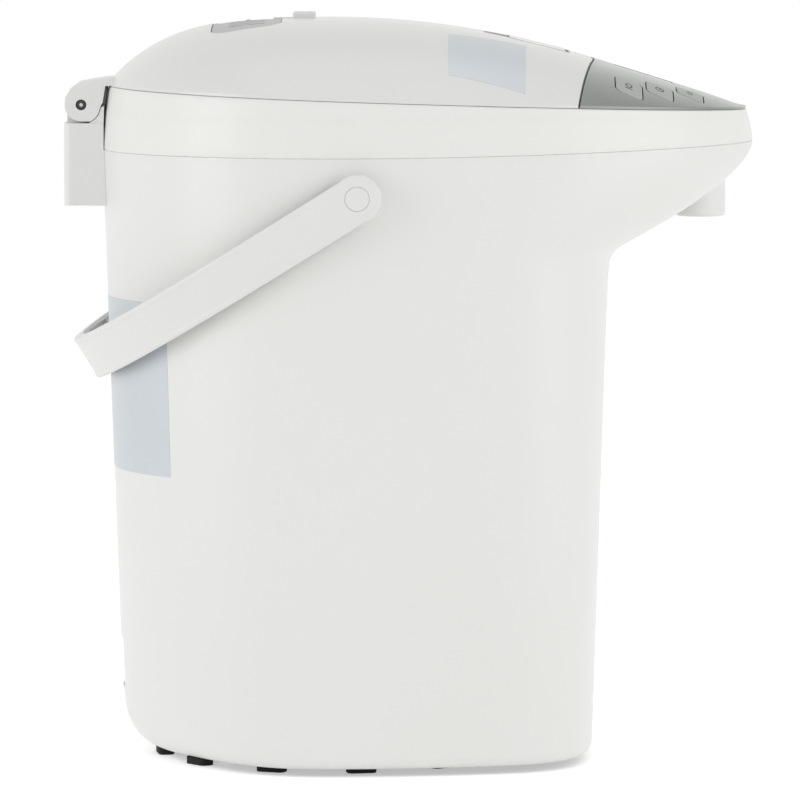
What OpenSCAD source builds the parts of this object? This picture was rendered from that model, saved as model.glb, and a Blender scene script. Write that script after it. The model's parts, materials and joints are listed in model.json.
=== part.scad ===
// Electric thermo pot: a jug-shaped body with a beak, a hinged lid, a swinging bail
// and a pumped spout. Millimetres. The origin lies on the floor under the middle of the
// overall length; +X points to the spout and +Z up.

/* [Body] */
// Half width of the body at the seam
body_r = 101; // [95:0.5:108]
// Reach of the nose in front of the vessel axis
nose_x = 184.8; // [178:0.2:194]
// Height of the seam between body and top frame
seam_z = 266.6; // [256:0.2:290]
// Extra height of the seam at the nose
seam_rise = 3.7; // [0:0.1:6]
// Inward lean of the side walls, per mm of height
side_draft = 0.034; // [0.01:0.002:0.04]
// Reach of the front wall where the beak leaves it
front_x = 121; // [118:0.5:128]
// Inward lean of the front wall, per mm of height
front_draft = 0.030; // [0.01:0.002:0.036]
// Depth of the beak below the seam
beak_drop = 43.1; // [36:0.1:52]
// How much the underside of the beak is bowed outwards
beak_bow = 1.45; // [1.2:0.05:1.7]
// Thickness of the body and frame walls
wall = 2.6; // [2:0.1:3.2]
// Radius of the bottom edge at the rear
heel_r = 17; // [10:1:22]
// Radius of the bottom edge at the front
toe_r = 4; // [3.6:0.2:8]

/* [Top frame] */
// Height of the rim above the seam, at the vessel axis
rim_h = 24.2; // [22:0.2:30]
// Fall of the rim towards the nose, per mm
rim_fall = 0.036; // [0:0.002:0.04]
// Inward lean of the frame wall over its height
rim_lean = 2.8; // [1.5:0.1:4]
// Height of the deck above the seam
deck_h = 16; // [14:0.5:17]

/* [Lid] */
// Height of the lid's crest above the rim, at the vessel axis
dome_h = 33.1; // [28:0.1:38]
// Fall of the crest towards the front, per mm squared
dome_fall = 0.00135; // [0.00100:0.00005:0.00150]
// Reach of the lid's front edge on the centre line
lid_front_x = 114.3; // [111:0.1:117]
// Depth of the arc in the lid's front edge
lid_front_bow = 8.3; // [4:0.1:10]
// Gap between lid and control panel
parting_gap = 1.2; // [0.8:0.1:2]
// Thickness of the lid and panel shells
shell = 2.4; // [2:0.1:3]
// Gap between a cap shell and the rim under it
rim_gap = 0.4; // [0.2:0.1:0.8]

/* [Lid hinge] */
// Distance of the hinge pin behind the body
hinge_back = 8.7; // [8.5:0.1:10]
// Depth of the hinge pin below the rim's height at the vessel axis
hinge_drop = 4.5; // [4:0.1:5.5]
// Width over the two lid ears
hinge_w = 34; // [30:1:44]
// Width of the fixed knuckle between the ears
knuckle_w = 15; // [12:1:18]
// Diameter of the hinge pin
hinge_pin_d = 4.6; // [4:0.1:5.2]
// Height of the fixed hinge bracket
bracket_h = 36; // [30:1:44]

/* [Bail] */
// Place of the bail pivot in front of the vessel axis
bail_x = 11.6; // [8:0.2:14]
// Depth of the bail pivot below the seam
bail_drop = 16.7; // [15:0.1:18]
// Distance from the back of the hinge to the middle of the strap
bail_clear = 10.8; // [10.2:0.1:14]
// Distance from the side of the body to the middle of the strap
bail_gap = 5; // [4.6:0.1:7]
// Width of the bail strap
bail_w = 20; // [17:0.5:21]
// Thickness of the bail strap
bail_t = 5; // [4:0.1:5.4]
// Angle at which the bail rests below the horizontal
bail_rest = 32.1; // [31:0.1:33]
// Diameter of the bail pivots
bail_pin_d = 8; // [7:0.5:9]

/* [Vessel] */
// Space between the inside of the vessel and the outside of the body
jacket = 21; // [20:0.5:25]
// Thickness of the vessel's sheet
vessel_wall = 1; // [0.8:0.1:1.2]
// Height of the vessel's floor
vessel_z = 52; // [50:1:58]
// Width of the lip that narrows the vessel at its mouth
mouth_lip = 4; // [3.5:0.5:8]
// Thickness of the seal under the deck
seal_t = 2.5; // [2:0.1:3]

/* [Spout] */
// Place of the nozzle in front of the vessel axis
nozzle_x = 162; // [160:0.5:163]
// Outer radius of the nozzle
nozzle_r = 11; // [9:0.2:12]
// Bore radius of the nozzle
nozzle_bore = 4.5; // [3:0.1:5]
// Height of the nozzle's tip below the seam
nozzle_drop = 29.7; // [27:0.1:33]
// Outer radius of the water tubes
tube_r = 5; // [4:0.1:5.4]
// Wall of the water tubes
tube_wall = 1.4; // [1:0.1:2]

/* [Keys] */
// Length of a small key
key_l = 11.5; // [9:0.5:12]
// Length of the pouring key on the far side
pour_l = 24; // [18:0.5:26]
// Width of the keys
key_w = 12; // [9:0.5:13]
// Distance of the keys from the panel's edge
key_edge = 2.6; // [2.4:0.1:4]
// Travel of a key
key_travel = 0.6; // [0.4:0.1:1]

/* [Base] */
// Height of the rubber feet
foot_h = 3.4; // [2.4:0.1:5]
// Number of rubber feet
foot_count = 12; // [8:4:16]
// Distance of the feet from the side of the body
foot_in = 26; // [25:1:33]
// Thickness of the base plate
base_t = 3; // [2.4:0.1:4]

/* [Fits] */
// Radial clearance of a shaft that turns
running = 0.05; // [0.02:0.01:0.08]
// Gap round a part that is set into an opening
set_gap = 0.2; // [0.1:0.05:0.4]

/* [Hidden] */
$fn = 64;

// How finely the outlines are divided: rear quarter, side and front of one half
rear_n = 16;
side_n = 4;
front_n = 16;
tear_power = 1.7;       // exponents of the teardrop plan, along it and across it
nose_power = 2;
crown_power = 3.8;      // how square the lid's cross-section is
crown_root = 0.909;
shoulder_x = 62;        // where the front wall starts to turn across
rim_w = 2.6;            // width of the rim's top edge
rim_round = 0.8;        // rounding of the rim's outer corner
lid_play = 2.3;         // gap between the lid's skirt and the rim's inner face
skirt_t = 1.6;          // thickness of a skirt
band = 0.8;             // upright edge of a cap shell
nose_run = 41.8;        // length over which the panel rolls off to the nose

rim_z0 = seam_z + rim_h;
deck_z = seam_z + deck_h;
deck_t = 2.4;
crest_z0 = rim_z0 + dome_h;
lid_in = rim_lean + 0.2;
skirt_in = rim_lean + rim_w + 0.2 + lid_play;
lid_r = body_r - lid_in;
lid_nose = nose_x - lid_in;
beak_z = seam_z - beak_drop;
base_z = foot_h;
plate_top = base_z + base_t;
vessel_top = seam_z + 5;
vessel_r = body_r - jacket;
mouth_r = vessel_r - mouth_lip;
foot_ring_r = body_r - foot_in;
vessel_out = vessel_r + vessel_wall;
pipe_z = seam_z - 7;
riser_x = (vessel_out + front_x - front_draft * (beak_z - vessel_z) - wall) / 2;
hinge_x = -(body_r + hinge_back);
ear_r = 7.2;            // radius of the lid's ears round the pin
hinge_rear = ear_r + 0.4;
hinge_z = rim_z0 - hinge_drop;
pin_r = hinge_pin_d / 2;
bail_z = seam_z - bail_drop;
bail_reach = bail_x - hinge_x + hinge_rear + bail_clear;
bail_half = body_r + bail_gap;
bail_pin_r = bail_pin_d / 2;

// ---------------------------------------------------------------- outlines

// Half width of the teardrop plan at x, for a rear radius r and a nose at n
function tear_w(x, r, n) = r * pow(max(0, 1 - pow(max(x, 0) / n, tear_power)), 1 / nose_power);

// 1 where the plan is cut off by the front wall, 0 where it runs out to the nose
function blunt(f) = max(0, min(1, (nose_x - f) / (nose_x - front_x)));

// A half outline mirrored into a closed loop that runs clockwise seen from above
function mirrored(h) = concat(h, [for (i = [len(h) - 2 : -1 : 1]) [h[i][0], -h[i][1]]]);

// Plan of the body: a rear semicircle of radius r, then teardrop sides cut off at front reach f
function plan(r, f, inset = 0) =
    let (n = nose_x - inset, rr = r - inset, ff = f - inset)
    mirrored(concat(
        [for (i = [0 : rear_n - 1]) let (a = 180 - 90 * i / rear_n) [rr * cos(a), rr * sin(a)]],
        [for (i = [0 : side_n - 1]) let (x = shoulder_x * i / side_n) [x, tear_w(x, rr, n)]],
        [for (i = [0 : front_n])
            let (s = sqrt(sin(90 * i / front_n)), x = shoulder_x + (ff - shoulder_x) * s)
            [x, tear_w(x, rr, n) * pow(cos(90 * i / front_n), blunt(f) / 2)]]));

// Points of a loop moved towards the vessel axis by d
function drawn_in(loop, d) = [for (p = loop) p * (1 - d / norm(p))];

// Body radius and front reach at height z
function radius_at(z) = body_r - side_draft * (seam_z - z);
function beak_growth(z) =
    let (u = z - beak_z, c = 3, d = (u + sqrt(u * u + c * c)) / 2)
    (nose_x - front_x) * (1 - pow(max(0, 1 - d / beak_drop), beak_bow));
function reach_at(z) = min(nose_x, front_x - front_draft * max(0, beak_z - z) + beak_growth(z));

// Height of the seam at x, and the lift of a body level that blends into it
function seam_at(x) = seam_z + seam_rise * pow(max(x, 0) / nose_x, 2);
function lifted(x, z) = z + (seam_at(x) - seam_z) * max(0, (z - beak_z) / beak_drop);

// Radius of the bottom edge: large at the heel, small at the toe
function ease(t) = let (u = max(0, min(1, t))) u * u * (3 - 2 * u);
function edge_r(x) = toe_r + (heel_r - toe_r) * ease((-15 - x) / 65);
edge_rise = 1.3;        // height of the bottom edge's curve for each mm of its width

// One level of the body shell, and one level of its rounded bottom edge
function body_level(z, inset = 0) =
    [for (p = plan(radius_at(z), reach_at(z) - inset / 2, inset)) [p[0], p[1], lifted(p[0], z)]];
function edge_level(a, t) =
    [for (p = plan(radius_at(base_z), reach_at(base_z)))
        let (e = edge_r(p[0]), q = p * (1 - (t + (e - t) * (1 - sin(a))) / norm(p)))
        [q[0], q[1], base_z + t + (edge_rise * e - t) * (1 - cos(a))]];

// ------------------------------------------------------------------ heights

function rim_at(x) = rim_z0 - rim_fall * x;
function crest_at(x) =
    x <= 0 ? crest_z0
    : x < lid_front_x ? crest_z0 - dome_fall * x * x
    : crest_z0 - dome_fall * lid_front_x * (2 * x - lid_front_x);

// 0 on the crest line and 1 at the edge of the lid and the panel
function crown_v(x, y) =
    min(1, x < 0 ? norm([x, y]) / lid_r : abs(y) / max(0.01, tear_w(x, lid_r, lid_nose)));
function nose_w(x) = max(0, min(1, 1 - (lid_nose - x) / nose_run));
function top_at(x, y) =
    let (low = rim_at(x) + rim_gap + band,
         k = max(0, 1 - pow(crown_v(x, y), crown_power) - pow(nose_w(x), 8)))
    low + (crest_at(x) - low) * pow(k, crown_root);

// Unit normal of the lid and panel surface
function top_normal(x, y) =
    let (d = 0.5,
         n = [top_at(x - d, y) - top_at(x + d, y), top_at(x, y - d) - top_at(x, y + d), 2 * d])
    n / norm(n);

// ------------------------------------------------------------- ringed solids

function at_height(loop, z) = [for (p = loop) [p[0], p[1], z]];
function at_seam(loop, lift = 0) = [for (p = loop) [p[0], p[1], seam_at(p[0]) + lift]];
function at_rim(loop, lift = 0) = [for (p = loop) [p[0], p[1], rim_at(p[0]) + lift]];
function at_top(loop, drop = 0) = [for (p = loop) [p[0], p[1], top_at(p[0], p[1]) - drop]];
function shrunk(loop, c, q) = [for (p = loop) [c + (p[0] - c) * q, p[1] * q]];
function flat_points(rings) = [for (r = rings) each r];
function band_faces(n, a, b) =
    [for (i = [0 : n - 1]) let (j = (i + 1) % n)
        each [[a * n + i, a * n + j, b * n + j], [a * n + i, b * n + j, b * n + i]]];

// A closed band of rings: the last ring joins the first
module ring_loop(rings) {
    n = len(rings[0]);
    m = len(rings);
    polyhedron(flat_points(rings), [for (k = [0 : m - 1]) each band_faces(n, k, (k + 1) % m)],
        convexity = 8);
}

// A solid of stacked rings, closed by an end point below and one above
module ring_stack(rings, low, high) {
    n = len(rings[0]);
    m = len(rings);
    polyhedron(concat(flat_points(rings), [low, high]),
        concat(
            [for (k = [0 : m - 2]) each band_faces(n, k, k + 1)],
            [for (i = [0 : n - 1]) [n * m, (i + 1) % n, i]],
            [for (i = [0 : n - 1]) [n * m + 1, (m - 1) * n + i, (m - 1) * n + (i + 1) % n]]),
        convexity = 8);
}

// ------------------------------------------------------------- small helpers

// A ring of rectangular section, standing on z
module ring(r_in, r_out, z, h) {
    rotate_extrude() translate([r_in, z]) square([r_out - r_in, h]);
}

// A round bar along Y, centred on y = 0
module bar_y(r, len) {
    rotate([90, 0, 0]) cylinder(r = r, h = len, center = true);
}

// A plate with round corners, standing on z = 0
module pad(l, w, r, h) {
    linear_extrude(h) union() {
        square([l - 2 * r, w], center = true);
        square([l, w - 2 * r], center = true);
        for (sx = [-1, 1], sy = [-1, 1])
            translate([sx * (l / 2 - r), sy * (w / 2 - r)]) circle(r);
    }
}

// Children placed on the top surface at (x, y), with their z axis along its normal
module on_top(x, y, lift = 0) {
    n = top_normal(x, y);
    translate([x, y, top_at(x, y)] + lift * n)
        rotate([-asin(n[1]), atan2(n[0], n[2]), 0])
            children();
}

// A hose elbow: an upright at x from z_low and a level run at z_level that ends at x_end
module elbow_tube(x, z_low, z_level, x_end, r, t) {
    difference() {
        union() {
            translate([x, 0, z_low]) cylinder(r = r, h = z_level - z_low);
            translate([x, 0, z_level]) sphere(r);
            translate([x, 0, z_level]) rotate([0, 90, 0]) cylinder(r = r, h = x_end - x);
        }
        translate([x, 0, z_low - 1]) cylinder(r = r - t, h = z_level - z_low + 1);
        translate([x, 0, z_level]) sphere(r - t);
        translate([x, 0, z_level]) rotate([0, 90, 0]) cylinder(r = r - t, h = x_end - x + 1);
    }
}

// --------------------------------------------------------------- outer body

edge_steps = 5;
side_steps = 3;
beak_steps = 11;
edge_top = base_z + edge_rise * heel_r;
beak_low = beak_z - 12;

// Levels of the body shell, closer together where the beak curves out to the nose
function beak_level(i) =
    beak_low + (seam_z - beak_low) * (1 - pow(1 - i / (beak_steps + 1), 1.6));
function outer_levels() = concat(
    [for (i = [1 : side_steps]) edge_top + 6 + (beak_low - edge_top - 6) * i / side_steps],
    [for (i = [1 : beak_steps]) beak_level(i)]);
function inner_levels() = concat(
    [for (i = [beak_steps - 1 : -2 : 1]) beak_level(i)],
    [beak_low, edge_top + 6]);

gauge_w = 14;
gauge_z = vessel_z + 32;
gauge_h = 118;
pivot_boss_r = 9;
socket_w = 34;
socket_h = 22;
socket_z = 30;

module outer_body() color("#eceeea") difference() {
    ring_loop(concat(
        [for (i = [0 : edge_steps]) edge_level(90 * i / edge_steps, 0)],
        [for (z = outer_levels()) body_level(z)],
        [at_seam(plan(body_r, nose_x))],
        [at_seam(plan(body_r, nose_x, wall))],
        [for (z = inner_levels()) body_level(z, wall)],
        [for (a = [90, 45, 0]) edge_level(a, wall)]));
    translate([nozzle_x, 0, beak_z]) cylinder(r = nozzle_r + set_gap, h = beak_drop + seam_rise);
    translate([bail_x, 0, bail_z]) bar_y(pivot_boss_r + running, 3 * body_r);
    translate([-body_r - 10, -socket_w / 2 - set_gap, socket_z - set_gap])
        cube([40, socket_w + 2 * set_gap, socket_h + 2 * set_gap]);
    gauge_place(8) gauge_bar(14, set_gap);
}

// ------------------------------------------------------------ upper frame

frame_mouth_r = mouth_r + 3.2;
function mouth_loop(r) =
    [for (p = plan(body_r, nose_x)) let (a = atan2(p[1], p[0])) [r * cos(a), r * sin(a)]];
function frame_wall(u) =
    [for (p = plan(body_r, nose_x, rim_lean * pow(u, 1.6)))
        [p[0], p[1], seam_at(p[0]) * (1 - u) + rim_at(p[0]) * u]];

module upper_frame() color("#f1f1ee") ring_loop([
    at_seam(plan(body_r, nose_x, 0.9), 0),
    at_seam(plan(body_r, nose_x), 1.2),
    frame_wall(0.4),
    frame_wall(0.7),
    frame_wall(0.94),
    at_rim(plan(body_r, nose_x, rim_lean + rim_round)),
    at_rim(plan(body_r, nose_x, rim_lean + rim_w)),
    at_height(plan(body_r, nose_x, rim_lean + rim_w + 0.2), deck_z),
    at_height(mouth_loop(frame_mouth_r + 1.8), deck_z),
    at_height(mouth_loop(frame_mouth_r), vessel_top + seal_t),
    at_height(mouth_loop(frame_mouth_r + 2.6), vessel_top + seal_t),
    at_height(mouth_loop(frame_mouth_r + 4.2), deck_z - deck_t),
    at_height(plan(body_r, nose_x, rim_lean + rim_w + 0.4), deck_z - deck_t),
    at_seam(plan(body_r, nose_x, wall + 0.9), 0)
]);

// ---------------------------------------------------------------------- base

post_x = 46;
post_y = 46;
post_top = vessel_z - 11;
screw_r = 1.7;

module at_posts() {
    for (sx = [-1, 1], sy = [-1, 1]) translate([sx * post_x, sy * post_y, 0]) children();
}

module base_plate() color("#3a3c3e") difference() {
    union() {
        translate([0, 0, base_z]) linear_extrude(base_t)
            polygon(drawn_in(edge_level_plan(), set_gap));
        at_posts() translate([0, 0, base_z]) cylinder(r = 5.5, h = post_top - base_z);
    }
    at_posts() translate([0, 0, base_z - 1]) cylinder(r = screw_r, h = post_top);
    at_posts() translate([0, 0, base_z - 1]) cylinder(r = 3.6, h = 2.6);
    for (i = [-3 : 3]) translate([-30, i * 6 - 1.25, base_z - 1]) cube([22, 2.5, base_t + 2]);
}
function edge_level_plan() = [for (p = edge_level(0, 0)) [p[0], p[1]]];

module rubber_feet() color("#26282a") for (k = [0 : foot_count - 1])
    rotate([0, 0, 10 + 360 / foot_count * k]) translate([foot_ring_r, 0, 0])
        pad(7, 13, 2.5, foot_h);

module base_screws() color("#9aa0a4") at_posts() {
    translate([0, 0, base_z + 0.2]) cylinder(r = 3.3, h = 1.4);
    translate([0, 0, base_z + 1.6]) cylinder(r = screw_r - 0.1, h = 20);
}

// -------------------------------------------------------------------- vessel

drain_x = vessel_r - 20;
drain_r = 5;

module vessel() color("#c9ccce") difference() {
    union() {
        rotate_extrude() difference() {
            union() {
                translate([0, vessel_z]) square([vessel_out - 6, vessel_wall]);
                translate([0, vessel_z + 6]) square([vessel_out, vessel_top - vessel_z - 6]);
                translate([vessel_out - 6, vessel_z + 6]) circle(6);
                translate([0, vessel_z]) square([vessel_out - 6, 7]);
                translate([0, vessel_top - 1.5]) square([vessel_out + 7, 1.5]);
            }
            translate([0, vessel_z + 6]) square([vessel_r, vessel_top - vessel_z - 7.5]);
            translate([vessel_out - 6, vessel_z + 6]) circle(6 - vessel_wall);
            translate([0, vessel_z + vessel_wall]) square([vessel_out - 6, 6]);
            translate([0, vessel_top - 2]) square([mouth_r, 4]);
            translate([-20, 0]) square([20, 2 * vessel_top]);
        }
        translate([drain_x, 0, vessel_z - 7]) cylinder(r = drain_r, h = 7.5);
    }
    translate([drain_x, 0, vessel_z - 8]) cylinder(r = drain_r - 1, h = 12);
}

module vessel_seal() color("#d9d5cc") ring(frame_mouth_r + 0.2, vessel_out + 5, vessel_top, seal_t);

// The shield under the vessel has a bay for the power inlet
shield_r = vessel_r - 10;
module heat_shield() color("#b4b8bb") difference() {
    union() {
        translate([0, 0, post_top]) cylinder(r = vessel_r + 4, h = 1.2);
        ring(vessel_r + 2.8, vessel_r + 4, post_top + 1.2, 6);
        ring(shield_r, shield_r + 1.4, post_top + 1.2, vessel_z - post_top - 1.2);
    }
    translate([drain_x, 0, post_top - 1]) cylinder(r = drain_r + 4, h = 4);
    translate([riser_x, 0, post_top - 1]) cylinder(r = tube_r + 2.5, h = 12);
    for (k = [0 : 7]) rotate([0, 0, 22.5 + 45 * k]) translate([shield_r - 6, -6, post_top + 3.2])
        cube([12, 12, 5]);
    translate([inlet_x - 2, -socket_w / 2 - 1, post_top - 1])
        cube([inlet_deep + 3.2, socket_w + 2, 20]);
}

heater_h = 30;
module band_heater() color("#8d8f92") difference() {
    union() {
        ring(vessel_out, vessel_out + 2.2, vessel_z + 8, heater_h);
        translate([-6, -vessel_out - 5.2, vessel_z + 15]) cube([12, 4, heater_h / 2]);
    }
    translate([0, 0, vessel_z]) cylinder(r = vessel_out, h = 2 * heater_h);
}

module temperature_sensor() color("#77797c") {
    translate([0, 0, vessel_z - 5]) cylinder(r = 7, h = 5);
    translate([0, 0, vessel_z - 8]) cylinder(r = 3, h = 3);
}

module thermal_fuse() color("#b08a5a") translate([-28, 0, vessel_z - 4]) {
    translate([-9, -4, 0]) cube([18, 8, 4]);
    translate([-14, -1.5, 1]) cube([5, 3, 1.5]);
    translate([9, -1.5, 1]) cube([5, 3, 1.5]);
}

// ---------------------------------------------------------------------- pump

pump_x = drain_x;
pump_r = 19;
motor_h = 13;
housing_z = plate_top + motor_h;
housing_h = 12;
cover_t = 2;
inlet_z = housing_z + housing_h / 2;
shaft_r = 1.5;
impeller_r = 14.5;

module pump_motor() color("#5c6064") translate([pump_x, 0, plate_top]) {
    difference() {
        cylinder(r = 16, h = motor_h);
        translate([0, 0, 3]) cylinder(r = shaft_r + running, h = motor_h);
    }
    for (s = [-1, 1]) translate([-4, s * 17 - 3, 0]) cube([8, 6, 3]);
}

module pump_housing() color("#e4e2da") translate([pump_x, 0, 0]) difference() {
    union() {
        translate([0, 0, housing_z]) cylinder(r = pump_r, h = housing_h);
        translate([pump_r - 2, 0, inlet_z]) rotate([0, 90, 0])
            cylinder(r = tube_r, h = riser_x - pump_x - pump_r - 5);
    }
    translate([0, 0, housing_z + 2]) cylinder(r = pump_r - 2, h = housing_h);
    translate([0, 0, housing_z - 1]) cylinder(r = shaft_r + running, h = 4);
    translate([pump_r - 4, 0, inlet_z]) rotate([0, 90, 0])
        cylinder(r = tube_r - tube_wall, h = riser_x);
}

module pump_cover() color("#dcdad2") translate([pump_x, 0, housing_z + housing_h]) difference() {
    union() {
        cylinder(r = pump_r, h = cover_t);
        cylinder(r = tube_r, h = cover_t + 4);
    }
    translate([0, 0, -1]) cylinder(r = tube_r - tube_wall, h = 9);
}

module pump_impeller() color("#6d7fa0") translate([pump_x, 0, 0]) {
    translate([0, 0, plate_top + 4]) cylinder(r = shaft_r, h = motor_h + 1);
    translate([0, 0, housing_z + 2.6]) cylinder(r = impeller_r, h = 1.6);
    translate([0, 0, housing_z + 2]) cylinder(r = 3, h = 6);
    for (k = [0 : 5]) rotate([0, 0, 60 * k]) translate([2, -0.6, housing_z + 3])
        cube([impeller_r - 2.6, 1.2, 5]);
}

module ring_at(x, r_in, r_out, z, h) {
    translate([x, 0, 0]) ring(r_in, r_out, z, h);
}

suction_low = housing_z + housing_h + cover_t + 4;
module suction_pipe() color("#cfd6cf") ring_at(drain_x, drain_r, drain_r + 1.4, suction_low - 4,
    vessel_z - 1 - suction_low + 4);

riser_top = vessel_z + 20;
module riser_pipe() color("#cfd6cf") difference() {
    union() {
        translate([riser_x, 0, inlet_z - 1]) cylinder(r = tube_r + 1.4, h = riser_top - inlet_z);
        translate([riser_x, 0, inlet_z]) sphere(tube_r + 1.4);
        translate([pump_x + pump_r + 1, 0, inlet_z]) rotate([0, 90, 0])
            cylinder(r = tube_r + 1.4, h = riser_x - pump_x - pump_r - 1);
    }
    translate([riser_x, 0, inlet_z]) cylinder(r = tube_r, h = riser_top);
    translate([pump_x + pump_r, 0, inlet_z]) rotate([0, 90, 0])
        cylinder(r = tube_r, h = riser_x - pump_x - pump_r);
}

level_low = riser_top - 10;
level_top = pipe_z - 43;  // the level tube ends well below the bend of the pipe above it
module level_tube() color("#dfeef2") ring_at(riser_x, tube_r - tube_wall, tube_r, level_low,
    level_top - level_low);

// The gauge window follows the lean of the front wall
gauge_t = 5;
gauge_lean = atan(front_draft);
module gauge_place(back) {
    x = reach_at(gauge_z);
    translate([x - back - gauge_t, 0, gauge_z]) rotate([0, gauge_lean, 0]) children();
}
module gauge_bar(t, play) {
    rotate([0, 90, 0]) translate([-gauge_h / 2, 0, 0])
        pad(gauge_h + 2 * play, gauge_w + 2 * play, 5, t);
}
module gauge_window() color("#dfeef2") {
    gauge_place(0.1) gauge_bar(gauge_t, 0);
    gauge_place(1.5 * wall + 0.2) translate([gauge_t - 1.4, 0, 0]) rotate([0, 90, 0])
        translate([-gauge_h / 2, 0, 0]) pad(gauge_h + 8, gauge_w + 8, 5, 1.4);
}

module upper_pipe() color("#cfd6cf")
    elbow_tube(riser_x, level_top - 8, pipe_z, valve_x - valve_r, tube_r + 1.4, 1.4);

// ---------------------------------------------------------------- spout parts

valve_x = riser_x + 33;
valve_r = 10;
valve_h = 22;
spigot = 4.5;           // length of the short tubes that the pipes are pushed onto
module tip_valve_housing() color("#e4e2da") translate([valve_x, 0, pipe_z]) difference() {
    union() {
        translate([0, 0, -valve_h / 2 - 1]) cylinder(r = valve_r, h = valve_h);
        rotate([0, 90, 0]) cylinder(r = tube_r, h = valve_r + spigot);
        rotate([0, -90, 0]) cylinder(r = tube_r, h = valve_r + spigot);
    }
    translate([0, 0, -valve_h / 2 + 1]) cylinder(r = valve_r - 2, h = valve_h - 4);
    translate([-30, 0, 0]) rotate([0, 90, 0]) cylinder(r = tube_r - tube_wall, h = 60);
}
ball_r = 4.5;
module tip_valve_ball() color("#b9bcc0")
    translate([valve_x, 0, pipe_z - valve_h / 2 + 1 + ball_r]) sphere(ball_r);

module outlet_pipe() color("#cfd6cf") translate([valve_x + valve_r, 0, pipe_z])
    rotate([0, 90, 0]) ring(tube_r, tube_r + 1.4, 0, nozzle_x - nozzle_r - valve_x - valve_r);

nozzle_z = seam_z - nozzle_drop;
nozzle_h = pipe_z + tube_r + 3 - nozzle_z;
module spout_nozzle() color("#efefec") translate([nozzle_x, 0, nozzle_z]) difference() {
    union() {
        rotate_extrude() polygon([[0, 0], [nozzle_r - 1.2, 0], [nozzle_r, 1.2],
            [nozzle_r, nozzle_h], [0, nozzle_h]]);
        translate([0, 0, pipe_z - nozzle_z]) rotate([0, -90, 0])
            cylinder(r = tube_r, h = nozzle_r + spigot);
    }
    translate([0, 0, -1]) cylinder(r = nozzle_bore, h = nozzle_h - 2);
    translate([0, 0, -1]) cylinder(r1 = nozzle_bore + 3.2, r2 = nozzle_bore, h = 5);
    translate([0, 0, pipe_z - nozzle_z]) rotate([0, -90, 0])
        cylinder(r = tube_r - tube_wall, h = nozzle_r + 6);
}

// ------------------------------------------------------------- panel and lid

// Plan of the lid: the rear circle, teardrop sides and an arched front edge
lid_n = 10;
function lid_front(v, inset) = lid_front_x - lid_front_bow * v * v - (inset - lid_in);
function tear_arc(r, n, a0, a1, steps) =
    [for (i = [0 : steps]) let (a = a0 + (a1 - a0) * i / steps)
        [n * pow(max(0, sin(a)), 2 / tear_power), r * pow(max(0, cos(a)), 2 / nose_power)]];
function tear_angle(x, n) = asin(pow(x / n, tear_power / 2));
function lid_plan(inset) =
    let (n = nose_x - inset, r = body_r - inset, xc = lid_front(1, inset), yc = tear_w(xc, r, n))
    mirrored(concat(
        [for (i = [0 : rear_n - 1]) let (a = 180 - 90 * i / rear_n) [r * cos(a), r * sin(a)]],
        tear_arc(r, n, 0, tear_angle(xc, n), lid_n),
        [for (i = [1 : lid_n]) let (v = 1 - i / lid_n) [lid_front(v, inset), yc * v]]));

// Plan of the control panel: an arched rear edge and teardrop sides that meet at the nose
panel_n = 15;
function panel_rear(v, inset) = lid_front_x + parting_gap - lid_front_bow * v * v + inset - lid_in;
function panel_plan(inset) =
    let (n = nose_x - inset, r = body_r - inset, xc = panel_rear(1, inset), yc = tear_w(xc, r, n))
    mirrored(concat(
        [for (i = [0 : lid_n - 1]) let (v = i / lid_n) [panel_rear(v, inset), yc * v]],
        tear_arc(r, n, tear_angle(xc, n), 90, panel_n)));

// Rings of a crowned top over an edge loop, shrunk in steps towards c and moved down by drop
function crown_rings(edge, c, drop = 0) =
    [for (q = [0.996, 0.985, 0.962, 0.925, 0.87, 0.79, 0.67, 0.5, 0.28])
        at_top(shrunk(edge, c, q), drop)];

// A domed cap on the rim: crowned top, upright edge and a skirt that reaches down inside the rim
module crown_shell(edge, skirt_out, skirt_inn, foot_z, c) {
    ring_stack(concat(
        [for (q = [0.3, 0.6, 0.85]) at_top(shrunk(skirt_inn, c, q), shell)],
        [at_top(skirt_inn, shell + 0.6)],
        [at_height(skirt_inn, foot_z), at_height(skirt_out, foot_z)],
        [at_rim(skirt_out, rim_gap), at_rim(edge, rim_gap), at_rim(edge, rim_gap + band)],
        crown_rings(edge, c)),
        [c, 0, top_at(c, 0) - shell], [c, 0, top_at(c, 0)]);
}

panel_c = lid_front_x + 31.7;
panel_edge = panel_plan(lid_in);
panel_skirt = skirt_in - lid_play + 0.2;
key_h = 1.7;            // thickness of a key's cap
key_proud = 0.3;        // height of a key above the panel
key_play = 0.3;         // gap round a key
key_pitch = 13.6;
key_slack = 0.3;        // gap left above its switch when a key is pressed
stem_r = 1.6;
switch_w = 6;
switch_h = 1;
key_first = 14.3;       // distance of the first key from the lid's edge
function key_x(i) = lid_front_x + key_first + key_pitch * i;
function key_y(i) = key_edge + key_w / 2 - tear_w(key_x(i) + key_l / 2, lid_r, lid_nose);
pour_x = lid_front_x + 23.7;
pour_y = tear_w(pour_x + pour_l / 2, lid_r, lid_nose) - key_edge - key_w / 2;
window_x = lid_front_x + 22.7;
window_l = 26;
window_w = 24;
window_t = 1.8;
window_low = 1.9;       // depth of the window's underside
board_rise = 1;
board_t = 1.2;
board_top = deck_z + board_rise + board_t;
board_posts = [[11.7, 34], [45.7, 14]];   // places of its posts, from the lid's edge

// The opening of a key: an upright shaft from under the key's lowest corner
module key_shaft(x, y, l, r) {
    low = top_at(x + l / 2, abs(y) + key_w / 2) - key_h - key_travel - 0.5;
    translate([x, y, low])
        pad(l + 2 * key_play, key_w + 2 * key_play, r + key_play, crest_z0 - low);
}

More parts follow.
